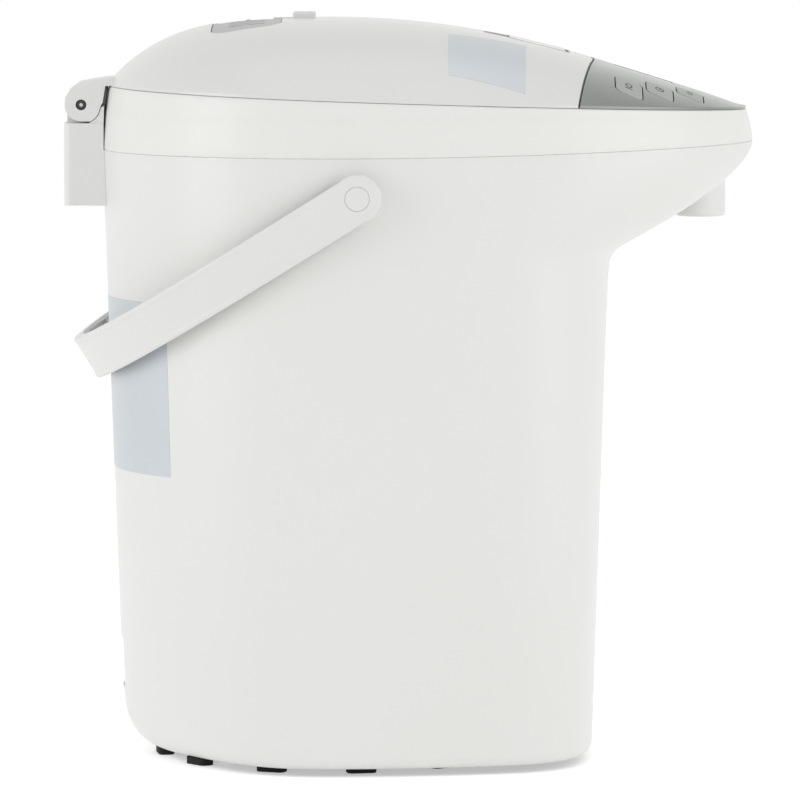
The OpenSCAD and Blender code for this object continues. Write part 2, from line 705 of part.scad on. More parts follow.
module control_panel() color("#a7aba7") difference() {
    crown_shell(panel_edge, panel_plan(panel_skirt), panel_plan(panel_skirt + skirt_t),
        deck_z, panel_c);
    on_top(window_x, 0, -6) pad(window_l + 2 * set_gap, window_w + 2 * set_gap, 3, 12);
    for (i = [0 : 2]) key_shaft(key_x(i), key_y(i), key_l, 2.2);
    key_shaft(pour_x, pour_y, pour_l, 3.7);
    translate([lid_front_x, -bolt_w / 2 - keeper_play, bolt_z - keeper_play])
        cube([8, bolt_w + 2 * keeper_play, bolt_t + 2 * keeper_play]);
}

module display_window() color("#2a3034") on_top(window_x, 0, -window_low)
    pad(window_l, window_w, 3, window_t);

module display_module() color("#39443e") difference() {
    on_top(window_x, 0, -window_low - 22) translate([-11, -10, 0]) cube([22, 20, 22]);
    translate([window_x - 30, -30, deck_z - 20]) cube([60, 60, board_top - deck_z + 20]);
}

module control_board() color("#3f7a4d") {
    difference() {
        translate([0, 0, board_top - board_t]) linear_extrude(board_t)
            polygon(panel_plan(panel_skirt + skirt_t + 0.4));
        translate([key_x(2) + key_l, -body_r, deck_z]) cube([nose_x, 2 * body_r, 2 * board_rise + board_t]);
    }
    for (p = board_posts, s = [-1, 1]) translate([lid_front_x + p[0], s * p[1], deck_z])
        cylinder(r = 2.5, h = board_rise);
    for (k = [[key_x(0), key_y(0)], [key_x(1), key_y(1)], [key_x(2), key_y(2)], [pour_x, pour_y]])
        translate([k[0] - switch_w / 2, k[1] - switch_w / 2, board_top])
            cube([switch_w, switch_w, switch_h]);
}

// A block under a patch of the crown, with its top moved down by drop and its foot at z = foot;
// the patch is divided m times along and k times across
module crown_patch(x, y, l, w, drop, m = 3, k = 5, foot = deck_z) {
    nb = (m + 1) * (k + 1);
    px = [for (i = [0 : m]) x + l * (i / m - 0.5)];
    py = [for (j = [0 : k]) y + w * (j / k - 0.5)];
    polyhedron(
        concat([for (i = [0 : m], j = [0 : k]) [px[i], py[j], top_at(px[i], py[j]) - drop]],
            [[px[0], py[0], foot], [px[m], py[0], foot], [px[m], py[k], foot],
             [px[0], py[k], foot]]),
        concat(
            [for (i = [0 : m - 1], j = [0 : k - 1]) let (a = i * (k + 1) + j, b = a + k + 1)
                each [[a, a + 1, b + 1], [a, b + 1, b]]],
            [concat([nb], [for (i = [0 : m]) i * (k + 1)], [nb + 1]),
             concat([nb + 1], [for (j = [0 : k]) m * (k + 1) + j], [nb + 2]),
             concat([nb + 2], [for (i = [m : -1 : 0]) i * (k + 1) + k], [nb + 3]),
             concat([nb + 3], [for (j = [k : -1 : 0]) j], [nb]),
             [nb, nb + 1, nb + 2, nb + 3]]),
        convexity = 4);
}

// A key: a cap that follows the panel's crown, on a stem that reaches down to its switch
module key_body(x, y, l, r) color("#b4b8b4") {
    low = board_top + switch_h + key_travel + key_slack;
    difference() {
        intersection() {
            crown_patch(x, y, l + 1, key_w + 1, -key_proud);
            translate([x, y, deck_z]) pad(l, key_w, r, crest_z0 - deck_z);
        }
        crown_patch(x, y, l + 2, key_w + 2, key_h);
    }
    translate([x, y, low]) cylinder(r = stem_r, h = top_at(x, y) - key_h / 2 - low);
}
module key_1() { key_body(key_x(0), key_y(0), key_l, 2.2); }
module key_2() { key_body(key_x(1), key_y(1), key_l, 2.2); }
module key_3() { key_body(key_x(2), key_y(2), key_l, 2.2); }
module key_pour() { key_body(pour_x, pour_y, pour_l, 3.7); }

// ---------------------------------------------------------------- electrics

module power_board() color("#3f7a4d") translate([14 - vessel_r, -33, plate_top + 3]) {
    cube([58, 66, 1.6]);
    translate([6, 8, 1.6]) cube([18, 22, 16]);
    translate([32, 10, 1.6]) cube([14, 14, 10]);
    for (y = [40, 52]) translate([14, y, 1.6]) cylinder(r = 5, h = 14);
    for (x = [3, 52], y = [3, 60]) translate([x, y, -3]) cylinder(r = 2, h = 3);
}

inlet_x = 2.2 - radius_at(socket_z);
inlet_deep = 17;
socket_deep = 9;
pin_thick = 3;
module power_inlet() color("#33373a") difference() {
    translate([inlet_x, -socket_w / 2, socket_z]) cube([inlet_deep, socket_w, socket_h]);
    translate([inlet_x - 2, -socket_w / 2 + 3, socket_z + 3])
        cube([socket_deep + 2, socket_w - 6, socket_h - 6]);
    for (s = [-1, 1]) translate([inlet_x, s * 7, socket_z + socket_h / 2]) rotate([0, 90, 0])
        cylinder(r = pin_thick / 2, h = inlet_deep + 3);
}
module inlet_pins() color("#c8b070") for (s = [-1, 1])
    translate([inlet_x + 2.5, s * 7, socket_z + socket_h / 2]) rotate([0, 90, 0])
        cylinder(r = pin_thick / 2, h = inlet_deep - 1.8);

// -------------------------------------------------------------------- hinge

ear_reach = hinge_back - 0.3;
block_top = hinge_z - ear_r - 0.9;
knuckle_r = 6.6;
ear_gap = 0.5;
arm_low = hinge_drop + rim_fall * body_r + 0.4;   // underside of the saddle, above the pin
arm_top = arm_low + 3.7;                          // top of the saddle, where it enters the lid
arm_in = hinge_back + skirt_in + skirt_t - 1;     // reach of its tongue, within the lid's skirt

module hinge_bracket() color("#e6e7e3") difference() {
    union() {
        translate([hinge_x - hinge_rear, 0, block_top - bracket_h])
            translate([15, 0, 0]) pad(30, hinge_w, 3, bracket_h);
        translate([hinge_x, 0, hinge_z]) bar_y(knuckle_r, knuckle_w);
        translate([hinge_x - knuckle_r, -knuckle_w / 2, block_top - 1])
            cube([2 * knuckle_r, knuckle_w, hinge_z - block_top + 1]);
    }
    translate([hinge_x, 0, hinge_z]) bar_y(pin_r, hinge_w);
    translate([0, 0, block_top - bracket_h - 1])
        cylinder(r1 = radius_at(block_top - bracket_h - 1), r2 = body_r,
            h = seam_z - block_top + bracket_h + 1);
    translate([0, 0, seam_z - 0.01]) cylinder(r = body_r + 0.3, h = 40);
}

module hinge_pin() color("#b9bcc0") translate([hinge_x, 0, hinge_z]) bar_y(pin_r, hinge_w - 1);

// Points of an arc of radius r about the origin
function arc(r, a0, a1, steps) =
    [for (i = [0 : steps]) let (a = a0 + (a1 - a0) * i / steps) r * [cos(a), sin(a)]];

// Side view of the lid's arm about the pin: round ears below, and a saddle above that runs
// over the knuckle into the lid
module arm_profile() {
    polygon(concat(
        arc(ear_r, 180, 270, 12),
        arc(ear_reach, -acos(4.2 / ear_reach), -7, 6),
        [[ear_reach + 1, 1], [ear_reach + 2.2, arm_low - 0.3], [arm_in, arm_low], [arm_in, arm_top],
         [6, arm_low + 2.3], [-1.6, arm_low + 0.9], [2.6 - ear_r, arm_low - 1.3], [0.3 - ear_r, 3.2]]));
}
module arm_block() {
    translate([hinge_x, 0, hinge_z]) rotate([90, 0, 0])
        linear_extrude(hinge_w, center = true) arm_profile();
}

module lid_hinge_arm() color("#e6e7e3") difference() {
    arm_block();
    translate([hinge_x - 2 * ear_r, -knuckle_w / 2 - ear_gap, hinge_z - 2 * ear_r])
        cube([4 * ear_r, knuckle_w + 2 * ear_gap, 2 * ear_r + arm_low]);
    translate([hinge_x, 0, hinge_z]) bar_y(pin_r + running, 2 * hinge_w);
}

// ----------------------------------------------------------------------- lid

vent_x = -37;
vent_l = 30.4;
vent_w = 84;
vent_drop = 1.2;        // depth of the vent under the lid's top
vent_t = 2;
vent_neck = 10;         // radius of the vent's neck in the liner's chimney
tab_x = vent_x + vent_l / 2 + 9.6;
tab_w = 6;
lever_x = lid_front_x - 24.3;
lever_l = 25;
lever_w = 44;
lever_play = 0.4;
lever_front = 1.6;      // extra gap in front of the lever, where its edge swings out
finger_l = 11;          // opening behind the lever, for a fingertip
finger_w = 30;
liner_t = 2;
liner_z = deck_z + 0.6;

module lid_cover() color("#dcdedb") difference() {
    crown_shell(lid_plan(lid_in), lid_plan(skirt_in), lid_plan(skirt_in + skirt_t),
        liner_z + liner_t, 0);
    arm_block();
    translate([vent_x, 0, crest_z0 - 20]) vent_outline(set_gap, 24);
    translate([vent_x, -tab_w / 2 - set_gap, crest_z0 - 2.4 - set_gap])
        cube([tab_x - vent_x, tab_w + 2 * set_gap, 4]);
    on_top(lever_x, 0, -12) translate([lever_front / 2, 0, 0])
        pad(lever_l + 2 * lever_play + lever_front, lever_w + 2 * lever_play, 4, 20);
    on_top(lever_x, 0, -12) translate([3 - lever_l / 2 - lever_play - finger_l / 2, 0, 0])
        pad(finger_l + 6, finger_w, 6, 20);
    bolt_plate(bolt_play);
}

module lid_liner() color("#d4d6d3") difference() {
    union() {
        translate([0, 0, liner_z]) linear_extrude(liner_t) polygon(lid_plan(skirt_in + 0.2));
        translate([vent_x, 0, liner_z]) cylinder(r = vent_neck + 2, h = crest_z0 - 9 - liner_z);
        difference() {
            lever_cup(0);
            lever_cup(cup_t);
            on_top(lever_x, 0, -cup_drop) translate([-body_r / 2, -body_r / 2, 0])
                cube([body_r, body_r, dome_h * 2]);
        }
        for (s = [-1, 1]) translate([pivot_x - 4, s * (cup_w / 2 - cup_t / 2) - cup_t / 2, liner_z])
            cube([8, cup_t, pivot_z + 0.9 - liner_z]);
        translate([spring_x + 1 - post_t, -9, liner_z]) cube([post_t, 18, bolt_z + 5 - liner_z]);
    }
    translate([vent_x, 0, liner_z - 1]) cylinder(r = vent_neck, h = crest_z0 - liner_z);
    at_lid_screws() translate([0, 0, liner_z - 1]) cylinder(r = 1.3, h = 4);
    bolt_plate(bolt_play);
    at_springs(spring_x + 2.4 - post_t) cylinder(r = spring_r + 0.2, h = post_t);
    translate([pivot_x, 0, pivot_z]) bar_y(lever_pin_r, cup_w + 2);
}

// The cup under the lever that the fingers reach into; with t it is the space inside
cup_t = 1.6;
cup_front = 15;         // reach of the cup in front of the lever's middle
cup_l = lever_l / 2 + finger_l + cup_front + 3.5;
cup_w = lever_w + 7;
cup_drop = 4.2;         // gap from the cup's rim up to the lid's top
module lever_cup(t) {
    translate([lever_x + cup_front - cup_l / 2, 0, liner_z + t])
        pad(cup_l - 2 * t, cup_w - 2 * t, 5 - t / 2, crest_z0 - liner_z);
}

pan_r = mouth_r - 2.5;
pan_wall = 1;
pan_flange = 5;         // width of the flange inside the inner lid's wall
module at_lid_screws() {
    for (k = [0 : 2]) rotate([0, 0, 60 + 120 * k])
        translate([pan_r - pan_wall - pan_flange / 2, 0, 0]) children();
}

module inner_lid() color("#c4c7c9") difference() {
    union() {
        ring(pan_r - pan_wall, mouth_r + 1.2, liner_z - 1, 1);
        ring(pan_r - pan_wall, pan_r, vessel_top + 0.6, liner_z - vessel_top - 0.6);
        translate([0, 0, vessel_top + 0.6]) cylinder(r = pan_r, h = pan_wall);
        ring(pan_r - pan_wall - pan_flange, pan_r - pan_wall, liner_z - 1, 1);
    }
    translate([vent_x, 0, vessel_top]) cylinder(r = 5, h = 3);
    at_lid_screws() translate([0, 0, liner_z - 2]) cylinder(r = 1.4, h = 4);
}

module lid_gasket() color("#cfc9bd") ring(pan_r, frame_mouth_r - 1, vessel_top + 0.25, 4);

module lid_screws() color("#9aa0a4") at_lid_screws() {
    translate([0, 0, liner_z - 2.4]) cylinder(r = 2.4, h = 1.4);
    translate([0, 0, liner_z - 1]) cylinder(r = 1.2, h = 3);
}

// The vent lies across the lid in a recess: a slotted plate that follows the crown, a neck
// below it and a tab in front of it to lift it out
module vent_outline(play, h) {
    pad(vent_l + 2 * play, vent_w + 2 * play, vent_l / 2 - 0.5, h);
}
module steam_vent() color("#8f9391") {
    difference() {
        union() {
            difference() {
                intersection() {
                    crown_patch(vent_x, 0, vent_l + 2, vent_w + 2, vent_drop, 2, 10, liner_z);
                    translate([vent_x, 0, liner_z]) vent_outline(0, crest_z0 - liner_z);
                }
                crown_patch(vent_x, 0, vent_l + 4, vent_w + 4, vent_drop + vent_t, 2, 10, deck_z);
            }
            translate([vent_x, 0, crest_z0 - 12]) cylinder(r = vent_neck, h = 12 - vent_drop - vent_t / 2);
        }
        for (i = [-4 : 4]) translate([vent_x - 8, i * 7.2 - 1, crest_z0 - 14]) cube([16, 2, 14]);
    }
    translate([tab_x, 0, crest_z0 - 0.1]) pad(10, 12, 2, 2.9);
    translate([vent_x + vent_l / 2 - 4, -tab_w / 2, crest_z0 - 2.4])
        cube([tab_x - vent_x - vent_l / 2 + 4, tab_w, 2.6]);
}

module steam_valve() color("#cfc9bd") translate([vent_x, 0, vessel_top + 1.6]) difference() {
    cylinder(r = 8, h = liner_z - vessel_top - 1.6);
    translate([0, 0, -1]) cylinder(r = 4, h = 20);
}

// ------------------------------------------------------------- lever and latch

lever_t = 2.2;
lever_pin_r = 1.5;
lever_pivot = 9.5;      // place of the pivot along the lever, from its middle
lever_depth = 5.6;      // depth of the pivot under the lever's top
lever_n = top_normal(lever_x, 0);
lever_tilt = atan2(lever_n[0], lever_n[2]);
pivot_x = lever_x + lever_pivot * cos(lever_tilt) - lever_depth * sin(lever_tilt);
pivot_z = top_at(lever_x, 0) - lever_pivot * sin(lever_tilt) - lever_depth * cos(lever_tilt);
nib_reach = 15.2;

module lever_pin() color("#b9bcc0") translate([pivot_x, 0, pivot_z]) bar_y(lever_pin_r, cup_w - 0.4);

module lid_lever() color("#e2e3e0") on_top(lever_x, 0) difference() {
    union() {
        translate([0, 0, -lever_t]) pad(lever_l, lever_w, 3.6, lever_t);
        translate([lever_pivot, 0, -lever_depth]) bar_y(2.8, lever_w - 8);
        translate([lever_pivot - 2.8, -lever_w / 2 + 4, -lever_depth])
            cube([5.6, lever_w - 8, lever_depth - lever_t + 0.5]);
        translate([lever_pivot - 1.5, -6, -nib_reach]) cube([3, 12, nib_reach - lever_depth]);
    }
    translate([lever_pivot, 0, -lever_depth]) bar_y(lever_pin_r + running, lever_w + 10);
}

bolt_t = 2.6;
bolt_w = 18;
bolt_play = 0.15;
keeper_play = 0.4;
bolt_z = pivot_z - nib_reach + lever_depth - 0.9 - bolt_t;
lug_x = pivot_x - 4;
lug_t = 2.4;
spring_r = 1.3;
spring_l = 6;
spring_x = lug_x - lug_t - spring_l;
post_t = 6;             // thickness of the post that the springs push against
module at_springs(x) {
    for (s = [-1, 1]) translate([x, s * 5, bolt_z + bolt_t / 2]) rotate([0, 90, 0]) children();
}
bolt_tip = lid_front_x + parting_gap / 2;
module bolt_plate(play) {
    translate([lug_x - lug_t, -bolt_w / 2 - play, bolt_z - play])
        cube([bolt_tip - lug_x + lug_t, bolt_w + 2 * play, bolt_t + 2 * play]);
}
module latch_bolt() color("#5c6064") {
    bolt_plate(0);
    translate([lug_x - lug_t, -bolt_w / 2, bolt_z + bolt_t - 0.1]) cube([lug_t, bolt_w, 3.4]);
}

module latch_springs() color("#b9bcc0") at_springs(spring_x) ring(spring_r - 0.5, spring_r, 0, spring_l);

// ---------------------------------------------------------------------- bail

bail_n = 2.3;           // exponent of the bail's rounded outline
rib_count = 15;
rib_t = 1.6;
eye_r = bail_w / 2 + 0.3;

// Middle line of the strap in the bail's own plane, for an angle that runs from one eye to the other
function bail_point(a) = [bail_reach * pow(abs(cos(a)), 2 / bail_n),
    bail_half * pow(abs(sin(a)), 2 / bail_n) * sign(sin(a))];
function bail_dir(a) = let (d = bail_point(a - 0.6) - bail_point(a + 0.6)) d / norm(d);
function rib_angle(k) = 90 - 180 * (k + 1) / (rib_count + 1);
function rib_half(k) = 0.5 * rib_t / norm(bail_point(rib_angle(k) + 0.5) - bail_point(rib_angle(k) - 0.5));

// Channel section, as offsets outwards and across the strap; floor is the depth of its channel
function channel(floor) = let (t = bail_t / 2, w = bail_w / 2)
    [[t - 0.8, -w], [-t, -w], [-t, -w + 1.8], [floor, -w + 1.8], [floor, w - 1.8],
     [-t, w - 1.8], [-t, w], [t - 0.8, w], [t, w - 1], [t, -w + 1]];
channel_parts = [[9, 8, 4, 3], [8, 7, 6, 5, 4], [9, 3, 2, 1, 0]];
function bail_ring(a, floor) = let (p = bail_point(a), d = bail_dir(a), o = [-d[1], d[0]])
    [for (s = channel(floor)) [p[0] + o[0] * s[0], p[1] + o[1] * s[0], s[1]]];
plain_angles = [89.4, 88, 86, 82];   // plain sections of the strap next to each eye
function bail_rings() = concat(
    [for (a = plain_angles) bail_ring(a, 0.4)],
    [for (k = [0 : rib_count - 1]) let (a = rib_angle(k), h = rib_half(k), deep = -bail_t / 2 + 0.6)
        each [bail_ring(a + h + 0.1, 0.4), bail_ring(a + h, deep), bail_ring(a - h, deep),
            bail_ring(a - h - 0.1, 0.4)]],
    [for (i = [len(plain_angles) - 1 : -1 : 0]) bail_ring(-plain_angles[i], 0.4)]);

cap_r = 5.2;            // the caps on the pivots, and their gap to the eyes
cap_gap = 0.3;
module in_bail_plane() {
    translate([bail_x, 0, bail_z]) rotate([0, 180 - bail_rest, 0]) children();
}

module bail() color("#e4e6e3") difference() {
    union() {
        in_bail_plane() strap();
        for (s = [-1, 1]) translate([bail_x, s * bail_half, bail_z]) bar_y(eye_r, bail_t + 0.6);
    }
    translate([bail_x, 0, bail_z]) bar_y(bail_pin_r + running, 3 * bail_half);
    for (s = [-1, 1]) translate([bail_x, s * (bail_half + bail_t / 2 + 0.3), bail_z])
        bar_y(cap_r + cap_gap, 3.2);
}

module strap() {
    rings = bail_rings();
    n = len(rings[0]);
    m = len(rings);
    polyhedron(flat_points(rings), concat(
        [for (k = [0 : m - 2]) each band_faces(n, k, k + 1)],
        channel_parts,
        [for (f = channel_parts) [for (i = [len(f) - 1 : -1 : 0]) (m - 1) * n + f[i]]]),
        convexity = 8);
}

bush_out = bail_half - bail_t / 2 - 0.3 - 0.2;
module bail_pivots() color("#d8dad7") for (s = [-1, 1]) scale_y(s) translate([bail_x, 0, bail_z])
    rotate([-90, 0, 0]) {
        translate([0, 0, body_r - 7.6]) cylinder(r = pivot_boss_r, h = bush_out - body_r + 7.6);
        translate([0, 0, body_r - 8.6]) cylinder(r = pivot_boss_r + 3, h = 2);
        translate([0, 0, bush_out - 1]) cylinder(r = bail_pin_r, h = bail_t + 0.2);
    }
module scale_y(s) { if (s > 0) children(); else mirror([0, 1, 0]) children(); }

module bail_caps() color("#e4e6e3") for (s = [-1, 1]) scale_y(s)
    translate([bail_x, 0, bail_z]) rotate([-90, 0, 0])
        translate([0, 0, bush_out + bail_t - 0.8]) cylinder(r = cap_r, h = 1.2);

// ------------------------------------------------------------------- drawing

// The pot is drawn about the vessel's axis and stands with the middle of its length at the origin
mid_x = (nose_x + hinge_x - hinge_rear) / 2;
module placed() {
    translate([-mid_x, 0, 0]) children();
}

placed() outer_body();
placed() upper_frame();
placed() base_plate();
placed() rubber_feet();
placed() base_screws();
placed() vessel();
placed() vessel_seal();
placed() heat_shield();
placed() band_heater();
placed() temperature_sensor();
placed() thermal_fuse();
placed() pump_motor();
placed() pump_housing();
placed() pump_cover();
placed() pump_impeller();
placed() suction_pipe();
placed() riser_pipe();
placed() level_tube();
placed() gauge_window();
placed() upper_pipe();
placed() tip_valve_housing();
placed() tip_valve_ball();
placed() outlet_pipe();
placed() spout_nozzle();
placed() control_panel();
placed() display_window();
placed() display_module();
placed() control_board();
placed() power_board();
placed() power_inlet();
placed() inlet_pins();
placed() hinge_bracket();
placed() hinge_pin();
placed() bail_pivots();
placed() bail_caps();
placed() lid_cover();
placed() lid_hinge_arm();
placed() lid_liner();
placed() inner_lid();
placed() lid_gasket();
placed() lid_screws();
placed() steam_vent();
placed() steam_valve();
placed() lever_pin();
placed() lid_lever();
placed() latch_bolt();
placed() latch_springs();
placed() bail();
placed() key_1();
placed() key_2();
placed() key_3();
placed() key_pour();
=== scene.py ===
"""Electric thermo pot: moulded shells, lid, control panel, bail, finishes and studio.

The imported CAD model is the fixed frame. Shapes are worked out in millimetres about the vessel's
axis and are moved to the frame's origin, in metres, when they become a mesh.
"""

import json
import math

import bmesh
import bpy
import numpy as np
from bpy.props import FloatProperty, FloatVectorProperty, PointerProperty
from mathutils import Matrix, Vector


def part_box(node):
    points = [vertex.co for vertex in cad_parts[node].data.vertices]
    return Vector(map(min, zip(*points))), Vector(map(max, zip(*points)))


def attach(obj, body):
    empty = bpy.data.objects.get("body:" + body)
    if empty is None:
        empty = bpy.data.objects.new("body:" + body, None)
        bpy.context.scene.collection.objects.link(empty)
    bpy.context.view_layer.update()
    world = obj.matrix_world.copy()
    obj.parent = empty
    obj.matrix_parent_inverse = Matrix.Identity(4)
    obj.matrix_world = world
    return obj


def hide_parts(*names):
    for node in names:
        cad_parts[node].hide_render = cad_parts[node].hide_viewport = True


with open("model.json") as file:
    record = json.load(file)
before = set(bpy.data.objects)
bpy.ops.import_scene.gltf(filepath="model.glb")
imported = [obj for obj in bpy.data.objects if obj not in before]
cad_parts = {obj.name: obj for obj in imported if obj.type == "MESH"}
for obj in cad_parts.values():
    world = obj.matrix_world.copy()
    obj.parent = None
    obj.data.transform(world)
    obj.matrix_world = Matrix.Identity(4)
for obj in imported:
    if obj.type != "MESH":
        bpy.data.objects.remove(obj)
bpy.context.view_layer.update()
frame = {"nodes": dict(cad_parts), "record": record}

bl_info = {
    "name": "Electric Thermo Pot",
    "version": (1, 0, 0),
    "blender": (4, 5, 0),
    "location": "View3D > Sidebar > Thermo Pot",
    "description": "Builds the shells, lid, keys, bail, finishes and studio of an electric thermo pot",
    "category": "Object",
}

# ------------------------------------------------------------------ the pot's measures, in mm

# the body: teardrop plan, leaning walls, rounded foot and the beak over the spout
MID_X = 33.75
BODY_R, NOSE_X, SHOULDER_X, TEAR_POWER = 101.0, 184.8, 62.0, 1.7
SIDE_DRAFT, FRONT_X, FRONT_DRAFT = 0.034, 121.0, 0.030
SEAM_Z, SEAM_RISE = 266.6, 3.7
BEAK_DROP, BEAK_BOW = 43.1, 1.45
BEAK_Z = SEAM_Z - BEAK_DROP
WALL, FOOT_H, HEEL_R, TOE_R, EDGE_RISE = 2.6, 3.4, 17.0, 4.0, 1.3

# the frame over the seam: rim, deck and mouth
RIM_Z, RIM_FALL, RIM_LEAN, RIM_W, RIM_ROUND = 290.8, 0.036, 2.8, 2.6, 0.8
DECK_Z, MOUTH_R, MOUTH_LOW = 282.6, 79.2, 274.1

# the crowned top, which lid and panel share
CREST_Z, DOME_FALL, CAP_IN, CAP_RISE, SHELL = 323.9, 0.00135, 3.0, 1.2, 2.4
CROWN_POWER, CROWN_ROOT, NOSE_RUN = 3.8, 0.909, 41.8
LID_R, LID_NOSE = BODY_R - CAP_IN, NOSE_X - CAP_IN
LID_FRONT_X, LID_FRONT_BOW, PARTING_GAP = 114.3, 8.3, 0.9
LID_FOOT_Z, LID_SKIRT_OUT, LID_SKIRT_IN = 285.2, 7.9, 9.5
PANEL_MID, PANEL_SKIRT_OUT, PANEL_SKIRT_IN = 146.0, 5.8, 7.4

# keys, window, lever and steam vent in the top
KEYS_X = (128.6, 142.2, 155.8)
KEY_L, KEY_W, KEY_EDGE = 11.5, 12.0, 2.6
POUR_X, POUR_L = 138.0, 24.0
WINDOW_X, WINDOW_L, WINDOW_W = 137.0, 26.0, 24.0
LEVER_X, LEVER_L, LEVER_W = 90.0, 25.0, 44.0
VENT_X, VENT_L, VENT_W, VENT_CORNER, VENT_DROP = -37.0, 30.4, 88.0, 10.0, 0.3
TAB_X = -12.2

# hinge, gauge window, power inlet and spout nozzle
HINGE_X, HINGE_Z, HINGE_W, HINGE_BACK, PIN_R = -109.7, 286.3, 34.0, 8.7, 2.3
GAUGE_Z, GAUGE_HALF, GAUGE_W = 84.0, 59.0, 14.0
INLET_Z, INLET_H, INLET_W = 41.0, 22.4, 34.4
NOZZLE_X, NOZZLE_R, NOZZLE_BORE, NOZZLE_Z, NOZZLE_TOP = 162.0, 11.0, 4.5, 236.9, 267.0

# the bail: axis, superellipse, strap section, ribs and eyes
BAIL_X, BAIL_Z, BAIL_REACH, BAIL_HALF, BAIL_REST = 11.6, 249.9, 139.7, 106.0, 32.1
BAIL_T, BAIL_W, BAIL_POWER, DISH, RIBS = 5.0, 20.0, 2.3, 0.42, 15
EYE_R, EYE_BORE, CAP_R = 10.3, 4.05, 5.2

# the camera: its place in metres, pitch in degrees and lens in millimetres
CAMERA_AT, CAMERA_PITCH, CAMERA_LENS = (-0.00395, -2.867, 0.3996), 4.87, 293.2


# ------------------------------------------------------------------------- outlines and heights

def tear_width(x, r, nose):
    """Half width of the teardrop plan: r times the square root of 1 - (x / nose) ** 1.7, for x > 0."""
    return r * np.sqrt(np.maximum(0.0, 1.0 - (np.maximum(x, 0.0) / nose) ** TEAR_POWER))


def closed_half(x, y):
    """A half outline and its mirror image, as one loop that runs clockwise seen from above."""
    return np.column_stack([np.concatenate([x, x[-2:0:-1]]), np.concatenate([y, -y[-2:0:-1]])])


def body_plan(reach, inset=0.0, radius=BODY_R, rear=40, side=12, front=44):
    """Plan of the body: a rear half circle, teardrop sides and a front cut off at reach, where the
    width is multiplied by a power of the cosine that fades to 0 as reach runs out to the nose."""
    nose, r, f = NOSE_X - inset, radius - inset, reach - inset
    a = np.radians(180.0 - 90.0 * np.arange(rear) / rear)
    x1 = SHOULDER_X * np.arange(side) / side
    t = 90.0 * np.arange(front + 1) / front
    x2 = SHOULDER_X + (f - SHOULDER_X) * np.sqrt(np.sin(np.radians(t)))
    blunt = np.clip((NOSE_X - reach) / (NOSE_X - FRONT_X), 0.0, 1.0)
    y2 = tear_width(x2, r, nose) * np.maximum(np.cos(np.radians(t)), 1e-12) ** (blunt / 2)
    y2[-1] = 0.0
    x = np.concatenate([r * np.cos(a), x1, x2])
    y = np.concatenate([r * np.sin(a), tear_width(x1, r, nose), y2])
    y[0] = 0.0
    return closed_half(x, y)


def radius_at(z):
    """Radius of the rear at height z, which shrinks downwards by the draft of the side."""
    return BODY_R - SIDE_DRAFT * (SEAM_Z - z)


def reach_at(z):
    """Reach of the front at height z: the leaning front wall, and above BEAK_Z the beak, which grows
    out to the nose by 1 minus the power 1.45 of the share of its height that is left."""
    d = z - BEAK_Z
    d = (d + math.sqrt(d * d + 9.0)) / 2
    growth = (NOSE_X - FRONT_X) * (1 - max(0.0, 1 - d / BEAK_DROP) ** BEAK_BOW)
    return min(NOSE_X, FRONT_X - FRONT_DRAFT * max(0.0, BEAK_Z - z) + growth)


def seam_at(x):
    """Height of the seam: level behind the axis and rising with the square of x to the nose."""
    return SEAM_Z + SEAM_RISE * (np.maximum(x, 0.0) / NOSE_X) ** 2


def rim_at(x):
    """Height of the frame's rim, which falls evenly towards the nose."""
    return RIM_Z - RIM_FALL * x


def crest_at(x):
    """The crest: level behind the axis, a parabola over the lid and its tangent over the panel."""
    falling = np.where(x < LID_FRONT_X, x * x, LID_FRONT_X * (2 * x - LID_FRONT_X))
    return np.where(x <= 0, CREST_Z, CREST_Z - DOME_FALL * falling)


def top_at(x, y):
    """Height of the crowned top: from the cap's edge up to the crest by (1 - v ** 3.8) ** 0.909,
    where v is 0 on the crest line and 1 at the edge, closed towards the nose by a power of 8."""
    x, y = np.asarray(x, float), np.asarray(y, float)
    width = np.maximum(0.01, tear_width(x, LID_R, LID_NOSE))
    v = np.minimum(1.0, np.where(x < 0, np.hypot(x, y) / LID_R, np.abs(y) / width))
    nose = np.clip(1 - (LID_NOSE - x) / NOSE_RUN, 0.0, 1.0)
    low = rim_at(x) + CAP_RISE
    k = np.maximum(0.0, 1.0 - v ** CROWN_POWER - nose ** 8)
    return low + (crest_at(x) - low) * k ** CROWN_ROOT


def with_z(plan, z):
    return np.column_stack([plan, np.broadcast_to(z, len(plan))])


def on_crown(plan, drop=0.0):
    """A plan laid on the crowned top, or below it by the drop."""
    return with_z(plan, top_at(plan[:, 0], plan[:, 1]) - drop)


def shrunk(plan, centre, q):
    """A plan shrunk by the factor q towards the point (centre, 0)."""
    return np.column_stack([centre + (plan[:, 0] - centre) * q, plan[:, 1] * q])


def crest_place(x, along=0.0, lift=0.0):
    """The matrix that stands a piece on the crest line at x, its z axis along the surface's normal,
    and moves it along the slope and up the normal."""
    slope = float(top_at(x - 0.5, 0.0) - top_at(x + 0.5, 0.0))
    return Matrix.Translation((x, 0.0, float(top_at(x, 0.0)))) \
        @ Matrix.Rotation(math.atan2(slope, 1.0), 4, "Y") @ Matrix.Translation((along, 0.0, lift))


def moved(points, place):
    """Points of any array of triples, carried by a 4 x 4 matrix where one is given."""
    if place is None:
        return points
    m = np.array(place)
    return points @ m[:3, :3].T + m[:3, 3]


